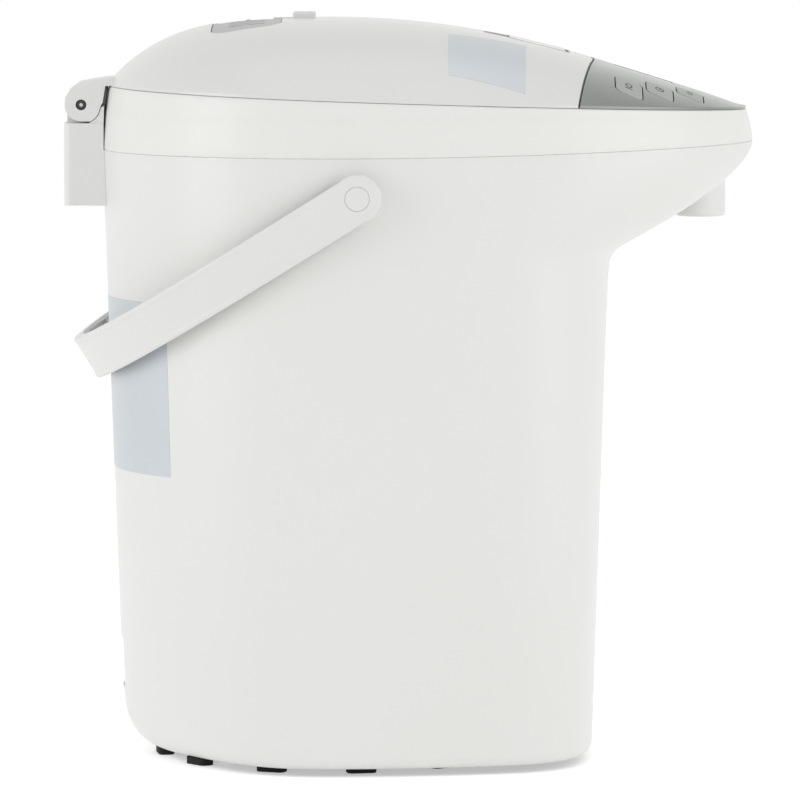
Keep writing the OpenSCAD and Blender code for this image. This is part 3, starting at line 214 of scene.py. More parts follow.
def round_rect(length, width, radius, corner=8, side=1):
    """A rectangle with round corners, as a loop that runs clockwise seen from above. Each corner has
    corner + 1 points, and each straight side is divided into side parts."""
    a = np.radians(np.linspace(90, 0, corner + 1))
    arc = np.column_stack([np.cos(a), np.sin(a)]) * radius
    cx, cy = length / 2 - radius, width / 2 - radius
    arcs = []
    for sx, sy, turn in ((1, 1, 0), (1, -1, -90), (-1, -1, -180), (-1, 1, -270)):
        t = math.radians(turn)
        spun = arc @ np.array([[math.cos(t), math.sin(t)], [-math.sin(t), math.cos(t)]])
        arcs.append(spun + [sx * cx, sy * cy])
    parts = []
    for here, ahead in zip(arcs, arcs[1:] + arcs[:1]):
        share = np.arange(1, side)[:, None] / side
        parts += [here, here[-1] * (1 - share) + ahead[0] * share]
    return np.concatenate(parts)


# ------------------------------------------------------------------------------ making of pieces

def signed_volume(points, faces):
    """Volume enclosed by the faces: the sum of the tetrahedra from the origin to each triangle."""
    total = 0.0
    for width in {len(f) for f in faces}:
        block = np.array([f for f in faces if len(f) == width])
        for i in range(1, width - 1):
            a, b, c = points[block[:, 0]], points[block[:, i]], points[block[:, i + 1]]
            total += np.einsum("ij,ij->i", a, np.cross(b, c)).sum() / 6
    return total


def ring_faces(count, rings, closed):
    """Quads between neighbouring rings of count points, and from the last ring to the first if closed."""
    k = np.arange(rings if closed else rings - 1)[:, None]
    i = np.arange(count)[None, :]
    a, b = k * count, ((k + 1) % rings) * count
    j = (i + 1) % count
    return np.stack([a + i, b + i, b + j, a + j], axis=-1).reshape(-1, 4).tolist()


def ring_surface(rings, low=None, high=None, closed=False):
    """Points and faces of stacked rings, closed by a point below, by one above or on themselves."""
    rings = np.asarray(rings, float)
    m, n = rings.shape[:2]
    points, faces = rings.reshape(-1, 3), ring_faces(n, m, closed)
    for tip, start, flip in ((low, 0, False), (high, (m - 1) * n, True)):
        if tip is None:
            continue
        c = len(points)
        points = np.vstack([points, tip])
        i = start + np.arange(n)
        j = start + (np.arange(n) + 1) % n
        fan = [np.full(n, c), j, i] if flip else [np.full(n, c), i, j]
        faces = faces + np.stack(fan, axis=-1).tolist()
    return points, faces


def bar_surface(rings):
    """Points and faces of stacked rings, closed by one flat face at each end."""
    points, faces = ring_surface(rings)
    first = list(range(len(rings[0])))
    return points, faces + [first, [len(points) - 1 - i for i in first]]


def turned_surface(profile, place=None, steps=96):
    """A profile of (radius, height) pairs carried round the z axis; its ends lie on the axis or join."""
    profile = np.asarray(profile, float)
    a = np.radians(-360.0 * np.arange(steps) / steps)
    keep = profile[:, 0] > 1e-6
    body = profile[keep]
    rings = np.stack([body[:, 0][:, None] * np.cos(a), body[:, 0][:, None] * np.sin(a),
                      np.broadcast_to(body[:, 1][:, None], (len(body), steps))], axis=-1)
    low = (0.0, 0.0, profile[0, 1]) if not keep[0] else None
    high = (0.0, 0.0, profile[-1, 1]) if not keep[-1] else None
    points, faces = ring_surface(rings, low, high, closed=low is None and high is None)
    return moved(points, place), faces


def plate_surface(plan, thick, edge, place=None, on_top=False, drop=0.0):
    """A plate over a plan with a rounded upper edge: a flat one on z = 0, or one that follows the
    crown when on_top is set. Rings shrink by a quarter circle at the edge and then to the middle."""
    centre = plan.mean(axis=0)
    spread = np.linalg.norm(plan - centre, axis=1).min()
    rings = []

    def level(q, z):
        flat = centre + (plan - centre) * q
        rings.append(on_crown(flat, drop - z) if on_top else with_z(flat, z))

    for q in (0.55, 1 - 0.2 * edge / spread):
        level(q, -thick)
    for t in np.radians(np.linspace(0, 90, 6)):
        level(1 - (edge * (1 - math.cos(t))) / spread, -edge * (1 - math.sin(t)))
    for q in (0.8, 0.6, 0.4, 0.2):
        level(q, 0.0)
    low_z = (float(top_at(*centre)) - drop - thick) if on_top else -thick
    high_z = (float(top_at(*centre)) - drop) if on_top else 0.0
    points, faces = ring_surface(rings, (*centre, low_z), (*centre, high_z))
    return moved(points, place), faces


def joined(*surfaces):
    """Several surfaces as one list of points and faces."""
    points, faces, start = [], [], 0
    for p, f in surfaces:
        points.append(p)
        faces += [[i + start for i in face] for face in f]
        start += len(p)
    return np.vstack(points), faces


def new_mesh(name, points, faces):
    """An object of points in mm about the vessel's axis and of faces, which are turned outwards."""
    if signed_volume(points, faces) < 0:
        faces = [face[::-1] for face in faces]
    local = (points - [MID_X, 0.0, 0.0]) / 1000.0
    mesh = bpy.data.meshes.new(name)
    mesh.from_pydata(local.tolist(), [], faces)
    mesh.update()
    obj = bpy.data.objects.new(name, mesh)
    bpy.context.scene.collection.objects.link(obj)
    return obj


def settle(obj, body, slot, *nodes, finish=None, smooth=32.0):
    """Gives a piece its finish, by default the slot's own, its smooth faces, the body it rides on and
    the nodes it stands for."""
    obj.data.materials.clear()
    obj.data.materials.append(bpy.data.materials[finish or SLOT_FINISH[slot]])
    obj.data.shade_smooth()
    obj.data.set_sharp_from_angle(angle=math.radians(smooth))
    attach(obj, body)
    if nodes:
        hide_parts(*nodes)


def combine(obj, operation, surfaces):
    """An exact Boolean of a piece with each surface in turn, which are removed afterwards."""
    for points, faces in surfaces:
        tool = new_mesh(obj.name + "_tool", points, faces)
        mod = obj.modifiers.new("combine", "BOOLEAN")
        mod.operation, mod.solver, mod.object = operation, "EXACT", tool
        done = bpy.data.meshes.new_from_object(obj.evaluated_get(bpy.context.evaluated_depsgraph_get()))
        obj.modifiers.clear()
        old, obj.data = obj.data, done
        bpy.data.meshes.remove(old)
        bpy.data.objects.remove(tool)


def cut(obj, *surfaces):
    """Takes each surface's volume out of the piece."""
    combine(obj, "DIFFERENCE", surfaces)


def fuse(obj, *surfaces):
    """Adds each surface's volume to the piece."""
    combine(obj, "UNION", surfaces)


def prism(plan, low, high, place=None):
    """A straight block over a plan, from low to high."""
    points, faces = bar_surface([with_z(plan, low), with_z(plan, high)])
    return moved(points, place), faces


def finished_node(node, body, slot, width):
    """A merged copy of a CAD node with its sharp edges rounded, standing for the node."""
    name = node + "_finished"
    mesh = frame["nodes"][node].data.copy()
    mesh.name = name
    work = bmesh.new()
    work.from_mesh(mesh)
    bmesh.ops.remove_doubles(work, verts=work.verts, dist=2e-6)
    bmesh.ops.dissolve_limit(work, angle_limit=math.radians(0.8), verts=work.verts, edges=work.edges)
    work.to_mesh(mesh)
    work.free()
    obj = bpy.data.objects.new(name, mesh)
    bpy.context.scene.collection.objects.link(obj)
    settle(obj, body, slot, node, smooth=30.0)
    bevel = obj.modifiers.new("soft edges", "BEVEL")
    bevel.width, bevel.segments = width / 1000.0, 3
    bevel.limit_method, bevel.angle_limit = "ANGLE", math.radians(32)
    bevel.use_clamp_overlap, bevel.harden_normals = True, False


# ---------------------------------------------------------------------------------- the finishes

def new_group(name, inputs, outputs):
    """An empty shader node group with named inputs (name: default, a number or a colour) and outputs
    (name: kind), with the sockets that give its inputs and the ones that take its results."""
    group = bpy.data.node_groups.new(name, "ShaderNodeTree")
    for label, value in inputs.items():
        kind = "Float" if isinstance(value, float) else "Color"
        socket = group.interface.new_socket(label, in_out="INPUT", socket_type="NodeSocket" + kind)
        socket.default_value = value
    for label, kind in outputs.items():
        group.interface.new_socket(label, in_out="OUTPUT", socket_type="NodeSocket" + kind)
    return group, group.nodes.new("NodeGroupInput").outputs, group.nodes.new("NodeGroupOutput").inputs


def add_node(tree, kind, inputs=None, **settings):
    """A node with its settings, and on each named input a value or a link from another socket."""
    node = tree.nodes.new(kind)
    for key, value in settings.items():
        setattr(node, key, value)
    for key, value in (inputs or {}).items():
        if isinstance(value, bpy.types.NodeSocket):
            tree.links.new(value, node.inputs[key])
        else:
            node.inputs[key].default_value = value
    return node


def maths(tree, operation, a, b, clamp=False):
    return add_node(tree, "ShaderNodeMath", {0: a, 1: b}, operation=operation, use_clamp=clamp).outputs[0]


def object_place(tree):
    return add_node(tree, "ShaderNodeTexCoord").outputs["Object"]


def noise(tree, **inputs):
    """Noise in the object's own coordinates, from 0 to 1, with its inputs by name."""
    if "Vector" not in inputs:
        inputs["Vector"] = object_place(tree)
    return add_node(tree, "ShaderNodeTexNoise", inputs).outputs["Fac"]


def spread(tree, value, low, high):
    """The value stretched so that low becomes 0 and high becomes 1."""
    return add_node(tree, "ShaderNodeMapRange",
                    {"Value": value, "From Min": low, "From Max": high}).outputs["Result"]


def blend(tree, share, a, b):
    """A colour that goes from a to b with the share."""
    return add_node(tree, "ShaderNodeMix", {"Factor": share, "A": a, "B": b},
                    data_type="RGBA").outputs["Result"]


def place_group(tree, name, **inputs):
    return add_node(tree, "ShaderNodeGroup", inputs, node_tree=bpy.data.node_groups[name]).outputs


def build_grain_group():
    """Moulded Grain: a fine spark-eroded texture over slow sink waves, as a height."""
    group, given, result = new_group("Moulded Grain", {"Scale": 2600.0, "Waves": 0.35},
                                     {"Height": "Float"})
    fine = noise(group, Scale=given["Scale"], Detail=3.0, Roughness=0.6)
    slow = noise(group, Scale=14.0, Detail=1.0)
    waves = maths(group, "MULTIPLY", slow, given["Waves"])
    group.links.new(maths(group, "ADD", fine, waves), result["Height"])


def build_mottle_group():
    """Moulding Mottle: a colour that drifts a little warmer and greyer over the surface."""
    group, given, result = new_group("Moulding Mottle", {
        "Color": (0.8, 0.8, 0.8, 1.0), "Drift": (0.78, 0.77, 0.72, 1.0), "Amount": 0.3, "Scale": 9.0},
        {"Color": "Color"})
    broad = noise(group, Scale=given["Scale"], Detail=4.0, Roughness=0.55)
    amount = maths(group, "MULTIPLY", spread(group, broad, 0.35, 0.75), given["Amount"], clamp=True)
    group.links.new(blend(group, amount, given["Color"], given["Drift"]), result["Color"])


def build_haze_group():
    """Handling Haze: a roughness with smears of finger grease and fine scuffs."""
    group, given, result = new_group("Handling Haze", {"Roughness": 0.35, "Haze": 0.08, "Scuffs": 0.05},
                                     {"Roughness": "Float"})
    smear = noise(group, Scale=26.0, Detail=5.0, Roughness=0.65, Distortion=0.8)
    turn = add_node(group, "ShaderNodeMapping", {
        "Vector": object_place(group), "Rotation": (0.3, 0.5, 0.9), "Scale": (1.0, 14.0, 14.0)})
    line = noise(group, Vector=turn.outputs["Vector"], Scale=120.0, Detail=2.0)
    haze = maths(group, "MULTIPLY", maths(group, "SUBTRACT", smear, 0.5), given["Haze"])
    scuff = maths(group, "MULTIPLY", spread(group, line, 0.62, 0.70), given["Scuffs"])
    total = maths(group, "ADD", maths(group, "ADD", given["Roughness"], haze), scuff, clamp=True)
    group.links.new(total, result["Roughness"])


def build_dust_group():
    """Settled Dust: a thin grey veil on faces that look up, and in the creases that "crease" marks."""
    group, given, result = new_group("Settled Dust", {
        "Color": (0.8, 0.8, 0.8, 1.0), "Dust": (0.5, 0.48, 0.44, 1.0), "Top": 0.05, "Crease": 0.3},
        {"Color": "Color", "Mask": "Float"})
    facing = add_node(group, "ShaderNodeNewGeometry").outputs["Normal"]
    up = add_node(group, "ShaderNodeSeparateXYZ", {"Vector": facing}).outputs["Z"]
    crease = add_node(group, "ShaderNodeAttribute", attribute_name="crease").outputs["Fac"]
    clump = spread(group, noise(group, Scale=190.0, Detail=6.0, Roughness=0.7), 0.38, 0.72)
    upward = maths(group, "MULTIPLY", maths(group, "MAXIMUM", up, 0.0), given["Top"])
    inside = maths(group, "MULTIPLY", crease, given["Crease"])
    mask = maths(group, "MULTIPLY", maths(group, "ADD", upward, inside), clump, clamp=True)
    group.links.new(blend(group, mask, given["Color"], given["Dust"]), result["Color"])
    group.links.new(mask, result["Mask"])


def build_brushed_group():
    """Brushed Lines: noise in thin layers along the z axis, as a height and a roughness."""
    group, given, result = new_group("Brushed Lines", {"Roughness": 0.28, "Depth": 0.12, "Stretch": 60.0},
                                     {"Height": "Float", "Roughness": "Float"})
    lay = add_node(group, "ShaderNodeCombineXYZ", {"X": 3.0, "Y": 3.0, "Z": given["Stretch"]})
    along = add_node(group, "ShaderNodeVectorMath", {0: object_place(group), 1: lay.outputs["Vector"]},
                     operation="MULTIPLY")
    line = noise(group, Vector=along.outputs["Vector"], Scale=40.0, Detail=5.0, Roughness=0.7)
    uneven = maths(group, "MULTIPLY", maths(group, "SUBTRACT", line, 0.5), given["Depth"])
    group.links.new(line, result["Height"])
    group.links.new(maths(group, "ADD", given["Roughness"], uneven, clamp=True), result["Roughness"])


def solid(colour):
    return (*colour, 1.0)


def toned(colour, share=(0.965, 0.955, 0.925)):
    """A colour times one share, or times one for each channel: by default a little warmer."""
    return [c * part for c, part in zip(colour, np.broadcast_to(share, 3).tolist())]


def new_material(name):
    material = bpy.data.materials.new(name)
    material.use_nodes = True
    tree = material.node_tree
    return tree, tree.nodes["Principled BSDF"]


def dress(tree, shader, colour, rough, bump=None, **values):
    """Links colour, roughness and bump, given as (height, strength, distance), to the shader and
    sets its other inputs, whose names are written with underscores."""
    tree.links.new(colour, shader.inputs["Base Color"])
    tree.links.new(rough, shader.inputs["Roughness"])
    if bump:
        relief = add_node(tree, "ShaderNodeBump", {"Height": bump[0], "Strength": bump[1],
                                                   "Distance": bump[2]})
        tree.links.new(relief.outputs["Normal"], shader.inputs["Normal"])
    for key, value in values.items():
        shader.inputs[key.replace("_", " ")].default_value = value


def moulded(name, colour, drift, roughness, amount=0.35, grain=2600.0, depth=0.05, top=0.01,
            coat=0.0, haze=0.08, scuffs=0.04, metallic=0.0):
    """A moulded plastic: mottled colour under a little dust, hazy gloss and a fine grain."""
    tree, shader = new_material(name)
    mottle = place_group(tree, "Moulding Mottle", Color=solid(colour), Drift=solid(drift), Amount=amount)
    veil = place_group(tree, "Settled Dust", Dust=(0.47, 0.45, 0.41, 1.0), Top=top, Crease=0.08,
                       Color=mottle["Color"])
    gloss = place_group(tree, "Handling Haze", Roughness=roughness, Haze=haze, Scuffs=scuffs)
    dusty = maths(tree, "MULTIPLY", veil["Mask"], 0.3)
    texture = place_group(tree, "Moulded Grain", Scale=grain)
    dress(tree, shader, veil["Color"], maths(tree, "ADD", gloss["Roughness"], dusty, clamp=True),
          (texture["Height"], depth, 0.0004), Coat_Weight=coat, Coat_Roughness=0.12, Metallic=metallic)
    return tree, shader


def add_painted_sheen(tree, shader, facing, grazing):
    """Paints a sheen into the finish's colour by the angle of view: scales it by one factor where it faces
    the eye, a painted shade, and by another where it is seen at a grazing angle, a painted sheen."""
    edge = add_node(tree, "ShaderNodeLayerWeight", {"Blend": 0.5})
    sheen_gain = add_node(tree, "ShaderNodeMapRange", {"Value": edge.outputs["Facing"], "From Min": 0.35,
                                                 "From Max": 0.92, "To Min": facing, "To Max": grazing})
    colour = shader.inputs["Base Color"].links[0].from_socket
    scaled = add_node(tree, "ShaderNodeVectorMath", {0: colour, "Scale": sheen_gain.outputs["Result"]},
                      operation="SCALE")
    tree.links.new(scaled.outputs["Vector"], shader.inputs["Base Color"])


def brushed(name, colour, roughness=0.28, stretch=60.0):
    """Brushed metal with fine lines and a little haze."""
    tree, shader = new_material(name)
    mottle = place_group(tree, "Moulding Mottle", Color=solid(colour),
                         Drift=solid(toned(colour, 0.8)), Amount=0.5, Scale=30.0)
    line = place_group(tree, "Brushed Lines", Roughness=roughness, Stretch=stretch)
    dress(tree, shader, mottle["Color"], line["Roughness"], (line["Height"], 0.08, 0.0003), Metallic=1.0)


def clear_glazing(name, colour, roughness):
    """A clear or smoked window with a little haze in its surface."""
    tree, shader = new_material(name)
    gloss = place_group(tree, "Handling Haze", Roughness=roughness, Haze=0.05, Scuffs=0.04)
    mottle = place_group(tree, "Moulding Mottle", Color=solid(colour),
                         Drift=solid(toned(colour, 0.94)), Amount=0.4)
    dress(tree, shader, mottle["Color"], gloss["Roughness"], Transmission_Weight=0.85, IOR=1.49)


def circuit_board(name):
    """Green laminate with paler copper tracks under the lacquer."""
    tree, shader = new_material(name)
    cells = add_node(tree, "ShaderNodeTexVoronoi", {"Vector": object_place(tree), "Scale": 260.0},
                     feature="DISTANCE_TO_EDGE", distance="CHEBYCHEV")
    track = spread(tree, cells.outputs["Distance"], 0.05, 0.09)
    colour = blend(tree, track, (0.16, 0.40, 0.20, 1.0), (0.05, 0.20, 0.09, 1.0))
    dress(tree, shader, colour, place_group(tree, "Handling Haze", Roughness=0.35)["Roughness"])


SLOT_FINISH = {
    "body_white": "Body White", "frame_white": "Frame White", "lid_white": "Lid White",
    "trim_white": "Trim White", "panel_grey": "Panel Silver", "key_grey": "Key Grey",
    "vent_grey": "Vent Grey", "window_dark": "Smoked Window", "gauge_clear": "Clear Gauge",
    "base_black": "Base Black", "rubber_black": "Foot Rubber", "seal_silicone": "Silicone",
    "liner_white": "Liner White", "steel": "Brushed Steel", "heater_metal": "Heater Metal",
    "impeller_blue": "Impeller Blue", "board_green": "Circuit Board", "contact_brass": "Plated Brass",
}


# ------------------------------------------------------------------------------------ properties

def colour_property(name, description, default):
    return FloatVectorProperty(name=name, description=description, default=default, size=3,
                               min=0.0, max=1.0, subtype="COLOR")


class PotColours(bpy.types.PropertyGroup):
    """Colours of the pot's finishes."""
    body: colour_property("Body", "Colour of the body shell", (0.80, 0.805, 0.785))
    top_frame: colour_property("Top frame", "Colour of the frame that carries the lid", (0.82, 0.82, 0.80))
    # the lid's white is set darker than the frame's to paint the shade on the dome that faces up; cover,
    # lever and vent tab take it
    lid: colour_property("Lid", "Colour of the lid's cover and lever", (0.745, 0.745, 0.735))
    trim: colour_property("Trim", "Colour of the bail, hinge and nozzle", (0.78, 0.785, 0.77))
    panel: colour_property("Panel", "Colour of the control panel", (0.36, 0.38, 0.36))
    key: colour_property("Keys", "Colour of the keys", (0.41, 0.43, 0.41))
    vent: colour_property("Vent", "Colour of the steam vent", (0.50, 0.51, 0.50))
    plate: colour_property("Plates", "Colour of the bare plates on lid and body", (0.60, 0.64, 0.67))


class PotSizes(bpy.types.PropertyGroup):
    """Small sizes of the pot's finish."""
    edge: FloatProperty(name="Edge radius", description="Rounding of the small moulded edges",
                        default=0.0005, min=0.0001, max=0.0012, unit="LENGTH")
    key_mark: FloatProperty(name="Key mark", description="Size of the mark printed on a key",
                            default=0.0042, min=0.002, max=0.006, unit="LENGTH")
    plate_t: FloatProperty(name="Plate thickness", description="Thickness of the bare plates",
                           default=0.00012, min=0.00005, max=0.0004, unit="LENGTH")


# ------------------------------------------------------------------------------------- operators

class POT_OT_finishes(bpy.types.Operator):
    """Make the finishes and give every CAD node the one of its material slot"""
    bl_idname = "pot.finishes"
    bl_label = "Finishes"

    def execute(self, context):
        c = context.scene.pot_colours
        for build in (build_grain_group, build_mottle_group, build_haze_group, build_dust_group,
                      build_brushed_group):
            build()
        moulded("Body White", c.body, toned(c.body), 0.38, coat=0.15, haze=0.05, scuffs=0.02)
        moulded("Frame White", c.top_frame, toned(c.top_frame), 0.42, coat=0.10, haze=0.04, scuffs=0.01)
        # the lid's finish is the frame's white plastic with painted shade, darker for the dome that faces
        # up
        moulded("Lid White", c.lid, toned(c.lid), 0.34, coat=0.20, haze=0.05, scuffs=0.02)
        moulded("Trim White", c.trim, toned(c.trim), 0.42, grain=1800.0, depth=0.12)
        # Panel Silver carries a painted sheen: its colour is darkened where it faces the eye and brightened
        # at grazing angles
        add_painted_sheen(*moulded("Panel Silver", c.panel, toned(c.panel, 0.93), 0.34, amount=0.5,
                          grain=5200.0, depth=0.10, metallic=0.35), facing=0.70, grazing=1.34)
        moulded("Key Grey", c.key, toned(c.key, 0.92), 0.48, grain=2200.0, depth=0.2)
        moulded("Vent Grey", c.vent, toned(c.vent, 0.92), 0.46, depth=0.12)
        # the vent tab takes the lid's colour with its painted shade
        moulded("Tab Grey", c.lid, toned(c.lid), 0.40, depth=0.1)
        moulded("Base Black", (0.035, 0.036, 0.038), (0.05, 0.05, 0.05), 0.55, depth=0.25, top=0.1)
        moulded("Foot Rubber", (0.003, 0.003, 0.003), (0.006, 0.006, 0.006), 0.85, depth=0.3, top=0.0)
        moulded("Silicone", (0.66, 0.63, 0.57), (0.60, 0.56, 0.48), 0.55, depth=0.1)
        moulded("Liner White", (0.66, 0.66, 0.63), (0.62, 0.60, 0.54), 0.45, depth=0.1)
        moulded("Heater Metal", (0.24, 0.25, 0.26), (0.18, 0.17, 0.16), 0.45, metallic=0.8)
        moulded("Impeller Blue", (0.08, 0.14, 0.30), (0.07, 0.11, 0.24), 0.4)
        moulded("Print Grey", (0.05, 0.052, 0.053), (0.08, 0.08, 0.08), 0.5, depth=0.02)
        moulded("Bare Plate", c.plate, toned(c.plate, 0.93), 0.34, amount=0.6, depth=0.03,
                metallic=0.25)
        brushed("Brushed Steel", (0.60, 0.61, 0.62))
        # this steel is darkened to paint the shade in the ring round the hinge pin's end
        brushed("Steel With Painted Shade", (0.10, 0.10, 0.105), 0.4)
        brushed("Plated Brass", (0.72, 0.55, 0.26), 0.25, 20.0)
        clear_glazing("Clear Gauge", (0.90, 0.95, 0.96), 0.08)
        clear_glazing("Smoked Window", (0.10, 0.12, 0.13), 0.10)
        circuit_board("Circuit Board")
        for part in frame["record"]["subparts"]:
            node = frame["nodes"][part["node"]]
            finish = bpy.data.materials[SLOT_FINISH[part["material_slot"]]]
            if not node.material_slots:
                node.data.materials.append(finish)
            for held in node.material_slots:
                held.material = finish
        return {"FINISHED"}


def mark_creases(obj, lines, reach=3.0):
    """Writes the attribute "crease": 1 on each given height curve z(x), fading over reach mm."""
    mesh = obj.data
    at = np.empty(len(mesh.vertices) * 3)
    mesh.vertices.foreach_get("co", at)
    at = at.reshape(-1, 3) * 1000.0 + [MID_X, 0.0, 0.0]
    value = np.zeros(len(at))
    for line in lines:
        value = np.maximum(value, np.exp(-((at[:, 2] - line(at[:, 0])) / reach) ** 2))
    layer = mesh.attributes.new("crease", "FLOAT", "POINT")
    layer.data.foreach_set("value", value)


def base_edge(a, t):
    """One ring of the body's rounded bottom edge at angle a, whose radius eases from toe to heel."""
    plan = body_plan(reach_at(FOOT_H), radius=radius_at(FOOT_H))
    u = np.clip((-15.0 - plan[:, 0]) / 65.0, 0.0, 1.0)
    e = TOE_R + (HEEL_R - TOE_R) * u * u * (3 - 2 * u)
    far = np.linalg.norm(plan, axis=1)
    q = plan * (1 - (t + (e - t) * (1 - math.sin(a))) / far)[:, None]
    return np.column_stack([q, FOOT_H + t + (EDGE_RISE * e - t) * (1 - math.cos(a))])


def body_ring(z, inset=0.0):
    """One ring of the wall at height z, bent from the beak's root upwards to follow the seam."""
    plan = body_plan(reach_at(z) - inset / 2, inset, radius_at(z))
    lift = (seam_at(plan[:, 0]) - SEAM_Z) * max(0.0, (z - BEAK_Z) / BEAK_DROP)
    return with_z(plan, z + lift)


def seam_ring(inset, lift=0.0):
    """One ring along the seam, inset from the outline and lifted off the seam's height."""
    plan = body_plan(NOSE_X, inset)
    return with_z(plan, seam_at(plan[:, 0]) + lift)


class POT_OT_body_shell(bpy.types.Operator):
    """Body shell with its rounded heel, leaning walls and the beak under the spout"""
    bl_idname = "pot.body_shell"
    bl_label = "Body shell"

    def execute(self, context):
        edge_top = FOOT_H + EDGE_RISE * HEEL_R
        low = BEAK_Z - 12
        share = np.arange(1, 38) / 40
        levels = low + (SEAM_Z - low) * (1 - (1 - share) ** 1.6)
        outer = [base_edge(math.radians(a), 0.0) for a in np.linspace(0, 90, 13)]
        outer += [body_ring(z) for z in np.linspace(edge_top + 6, low, 10)]
        outer += [body_ring(z) for z in levels]
        outer += [seam_ring(0.0, -0.3), seam_ring(0.05, -0.1), seam_ring(0.28)]
        inner = [seam_ring(WALL)]
        inner += [body_ring(z, WALL) for z in levels[-2::-2]]
        inner += [body_ring(low, WALL), body_ring(edge_top + 6, WALL)]
        inner += [base_edge(math.radians(a), WALL) for a in (90, 60, 30, 0)]
        shell = new_mesh("body_shell", *ring_surface(outer + inner, closed=True))
        nozzle = [(0, BEAK_Z), (NOZZLE_R + 0.2, BEAK_Z), (NOZZLE_R + 0.2, 280), (0, 280)]
        socket = Matrix.Translation((-BODY_R - 10, 0.0, INLET_Z)) @ Matrix.Rotation(math.pi / 2, 4, "Y")
        cut(shell,
            turned_surface(nozzle, Matrix.Translation((NOZZLE_X, 0.0, 0.0))),
            prism(round_rect(INLET_H, INLET_W, 1.5), 0.0, 40.0, socket),
            prism(round_rect(2 * GAUGE_HALF + 0.4, GAUGE_W + 0.4, 5.0), -13.0, 3.0, gauge_place()))
        mark_creases(shell, [seam_at, lambda x: FOOT_H + 0 * x])
        settle(shell, "pot", "body_white", "outer_body")
        return {"FINISHED"}


def gauge_place():
    """The matrix that lays a plan's x axis down the front wall, at the middle of the gauge window."""
    start = Matrix.Translation((reach_at(GAUGE_Z), 0.0, GAUGE_Z))
    return start @ Matrix.Rotation(math.atan(FRONT_DRAFT), 4, "Y") \
        @ Matrix.Rotation(math.pi / 2, 4, "Y") @ Matrix.Translation((-GAUGE_HALF, 0.0, 0.0))


class POT_OT_top_frame(bpy.types.Operator):
    """Frame over the seam: leaning wall, rounded rim and the deck round the vessel's mouth"""
    bl_idname = "pot.top_frame"
    bl_label = "Top frame"

    def execute(self, context):
        def wall_ring(u):
            plan = body_plan(NOSE_X, RIM_LEAN * u ** 1.6)
            x = plan[:, 0]
            return with_z(plan, seam_at(x) * (1 - u) + rim_at(x) * u)

        def rim_ring(inset, drop=0.0):
            plan = body_plan(NOSE_X, inset)
            return with_z(plan, rim_at(plan[:, 0]) - drop)

        def mouth_ring(r, z):
            plan = body_plan(NOSE_X)
            a = np.arctan2(plan[:, 1], plan[:, 0])
            return with_z(np.column_stack([r * np.cos(a), r * np.sin(a)]), z)

        rings = [seam_ring(0.9), seam_ring(0.3, 0.02), seam_ring(0.06, 0.14), seam_ring(0.0, 0.36)]
        rings += [wall_ring(u) for u in np.linspace(0.14, 0.965, 14)]
        rings += [rim_ring(RIM_LEAN + RIM_ROUND * (1 - math.cos(t)), RIM_ROUND * (1 - math.sin(t)))
                  for t in np.radians(np.linspace(15, 90, 6))]
        inner = RIM_LEAN + RIM_W
        rings += [rim_ring(inner - 0.4), rim_ring(inner - 0.1, 0.12), rim_ring(inner, 0.45)]
        deck = body_plan(NOSE_X, inner + 0.2)
        rings += [with_z(deck, DECK_Z + 0.5), with_z(body_plan(NOSE_X, inner + 0.8), DECK_Z)]
        rings += [mouth_ring(MOUTH_R + 2.4, DECK_Z), mouth_ring(MOUTH_R + 1.4, DECK_Z - 0.6),
                  mouth_ring(MOUTH_R, MOUTH_LOW), mouth_ring(MOUTH_R + 2.6, MOUTH_LOW),
                  mouth_ring(MOUTH_R + 4.2, DECK_Z - 2.4)]
        rings += [with_z(body_plan(NOSE_X, inner + 0.4), DECK_Z - 2.4), seam_ring(WALL + 0.9)]
        top = new_mesh("top_frame", *ring_surface(rings, closed=True))
        mark_creases(top, [lambda x: seam_at(x) + 0.4, lambda x: DECK_Z + 0 * x], 1.6)
        settle(top, "pot", "frame_white", "upper_frame")
        return {"FINISHED"}


def tear_arc(r, nose, a0, a1, steps):
    """The teardrop's side from angle a0 to a1: x = nose * sin ** (2 / 1.7), y = r * cos."""
    a = np.linspace(a0, a1, steps + 1)
    return nose * np.maximum(0, np.sin(a)) ** (2 / TEAR_POWER), r * np.maximum(0, np.cos(a))


def tear_angle(x, nose):
    """The angle at which tear_arc reaches x."""
    return math.asin((x / nose) ** (TEAR_POWER / 2))


def lid_plan(inset, rear=44, side=30, front=26):
    """Plan of the lid: the rear circle, teardrop sides and an arched front edge."""
    nose, r = NOSE_X - inset, BODY_R - inset
    front_at = lambda v: LID_FRONT_X - LID_FRONT_BOW * v * v - (inset - CAP_IN)
    xc = front_at(1.0)
    yc = float(tear_width(xc, r, nose))
    a = np.radians(180.0 - 90.0 * np.arange(rear) / rear)
    sx, sy = tear_arc(r, nose, 0.0, tear_angle(xc, nose), side)
    v = 1.0 - np.arange(1, front + 1) / front
    x = np.concatenate([r * np.cos(a), sx, front_at(v)])
    y = np.concatenate([r * np.sin(a), sy, yc * v])
    y[0] = 0.0
    return closed_half(x, y)


def panel_plan(inset, front=26, side=60):
    """Plan of the control panel: an arched rear edge and teardrop sides that meet at the nose."""
    nose, r = NOSE_X - inset, BODY_R - inset
    rear_at = lambda v: LID_FRONT_X + PARTING_GAP - LID_FRONT_BOW * v * v + inset - CAP_IN
    xc = rear_at(1.0)
    yc = float(tear_width(xc, r, nose))
    v = np.arange(front) / front
    sx, sy = tear_arc(r, nose, tear_angle(xc, nose), math.pi / 2, side)
    sy[-1] = 0.0
    return closed_half(np.concatenate([rear_at(v), sx]), np.concatenate([yc * v, sy]))


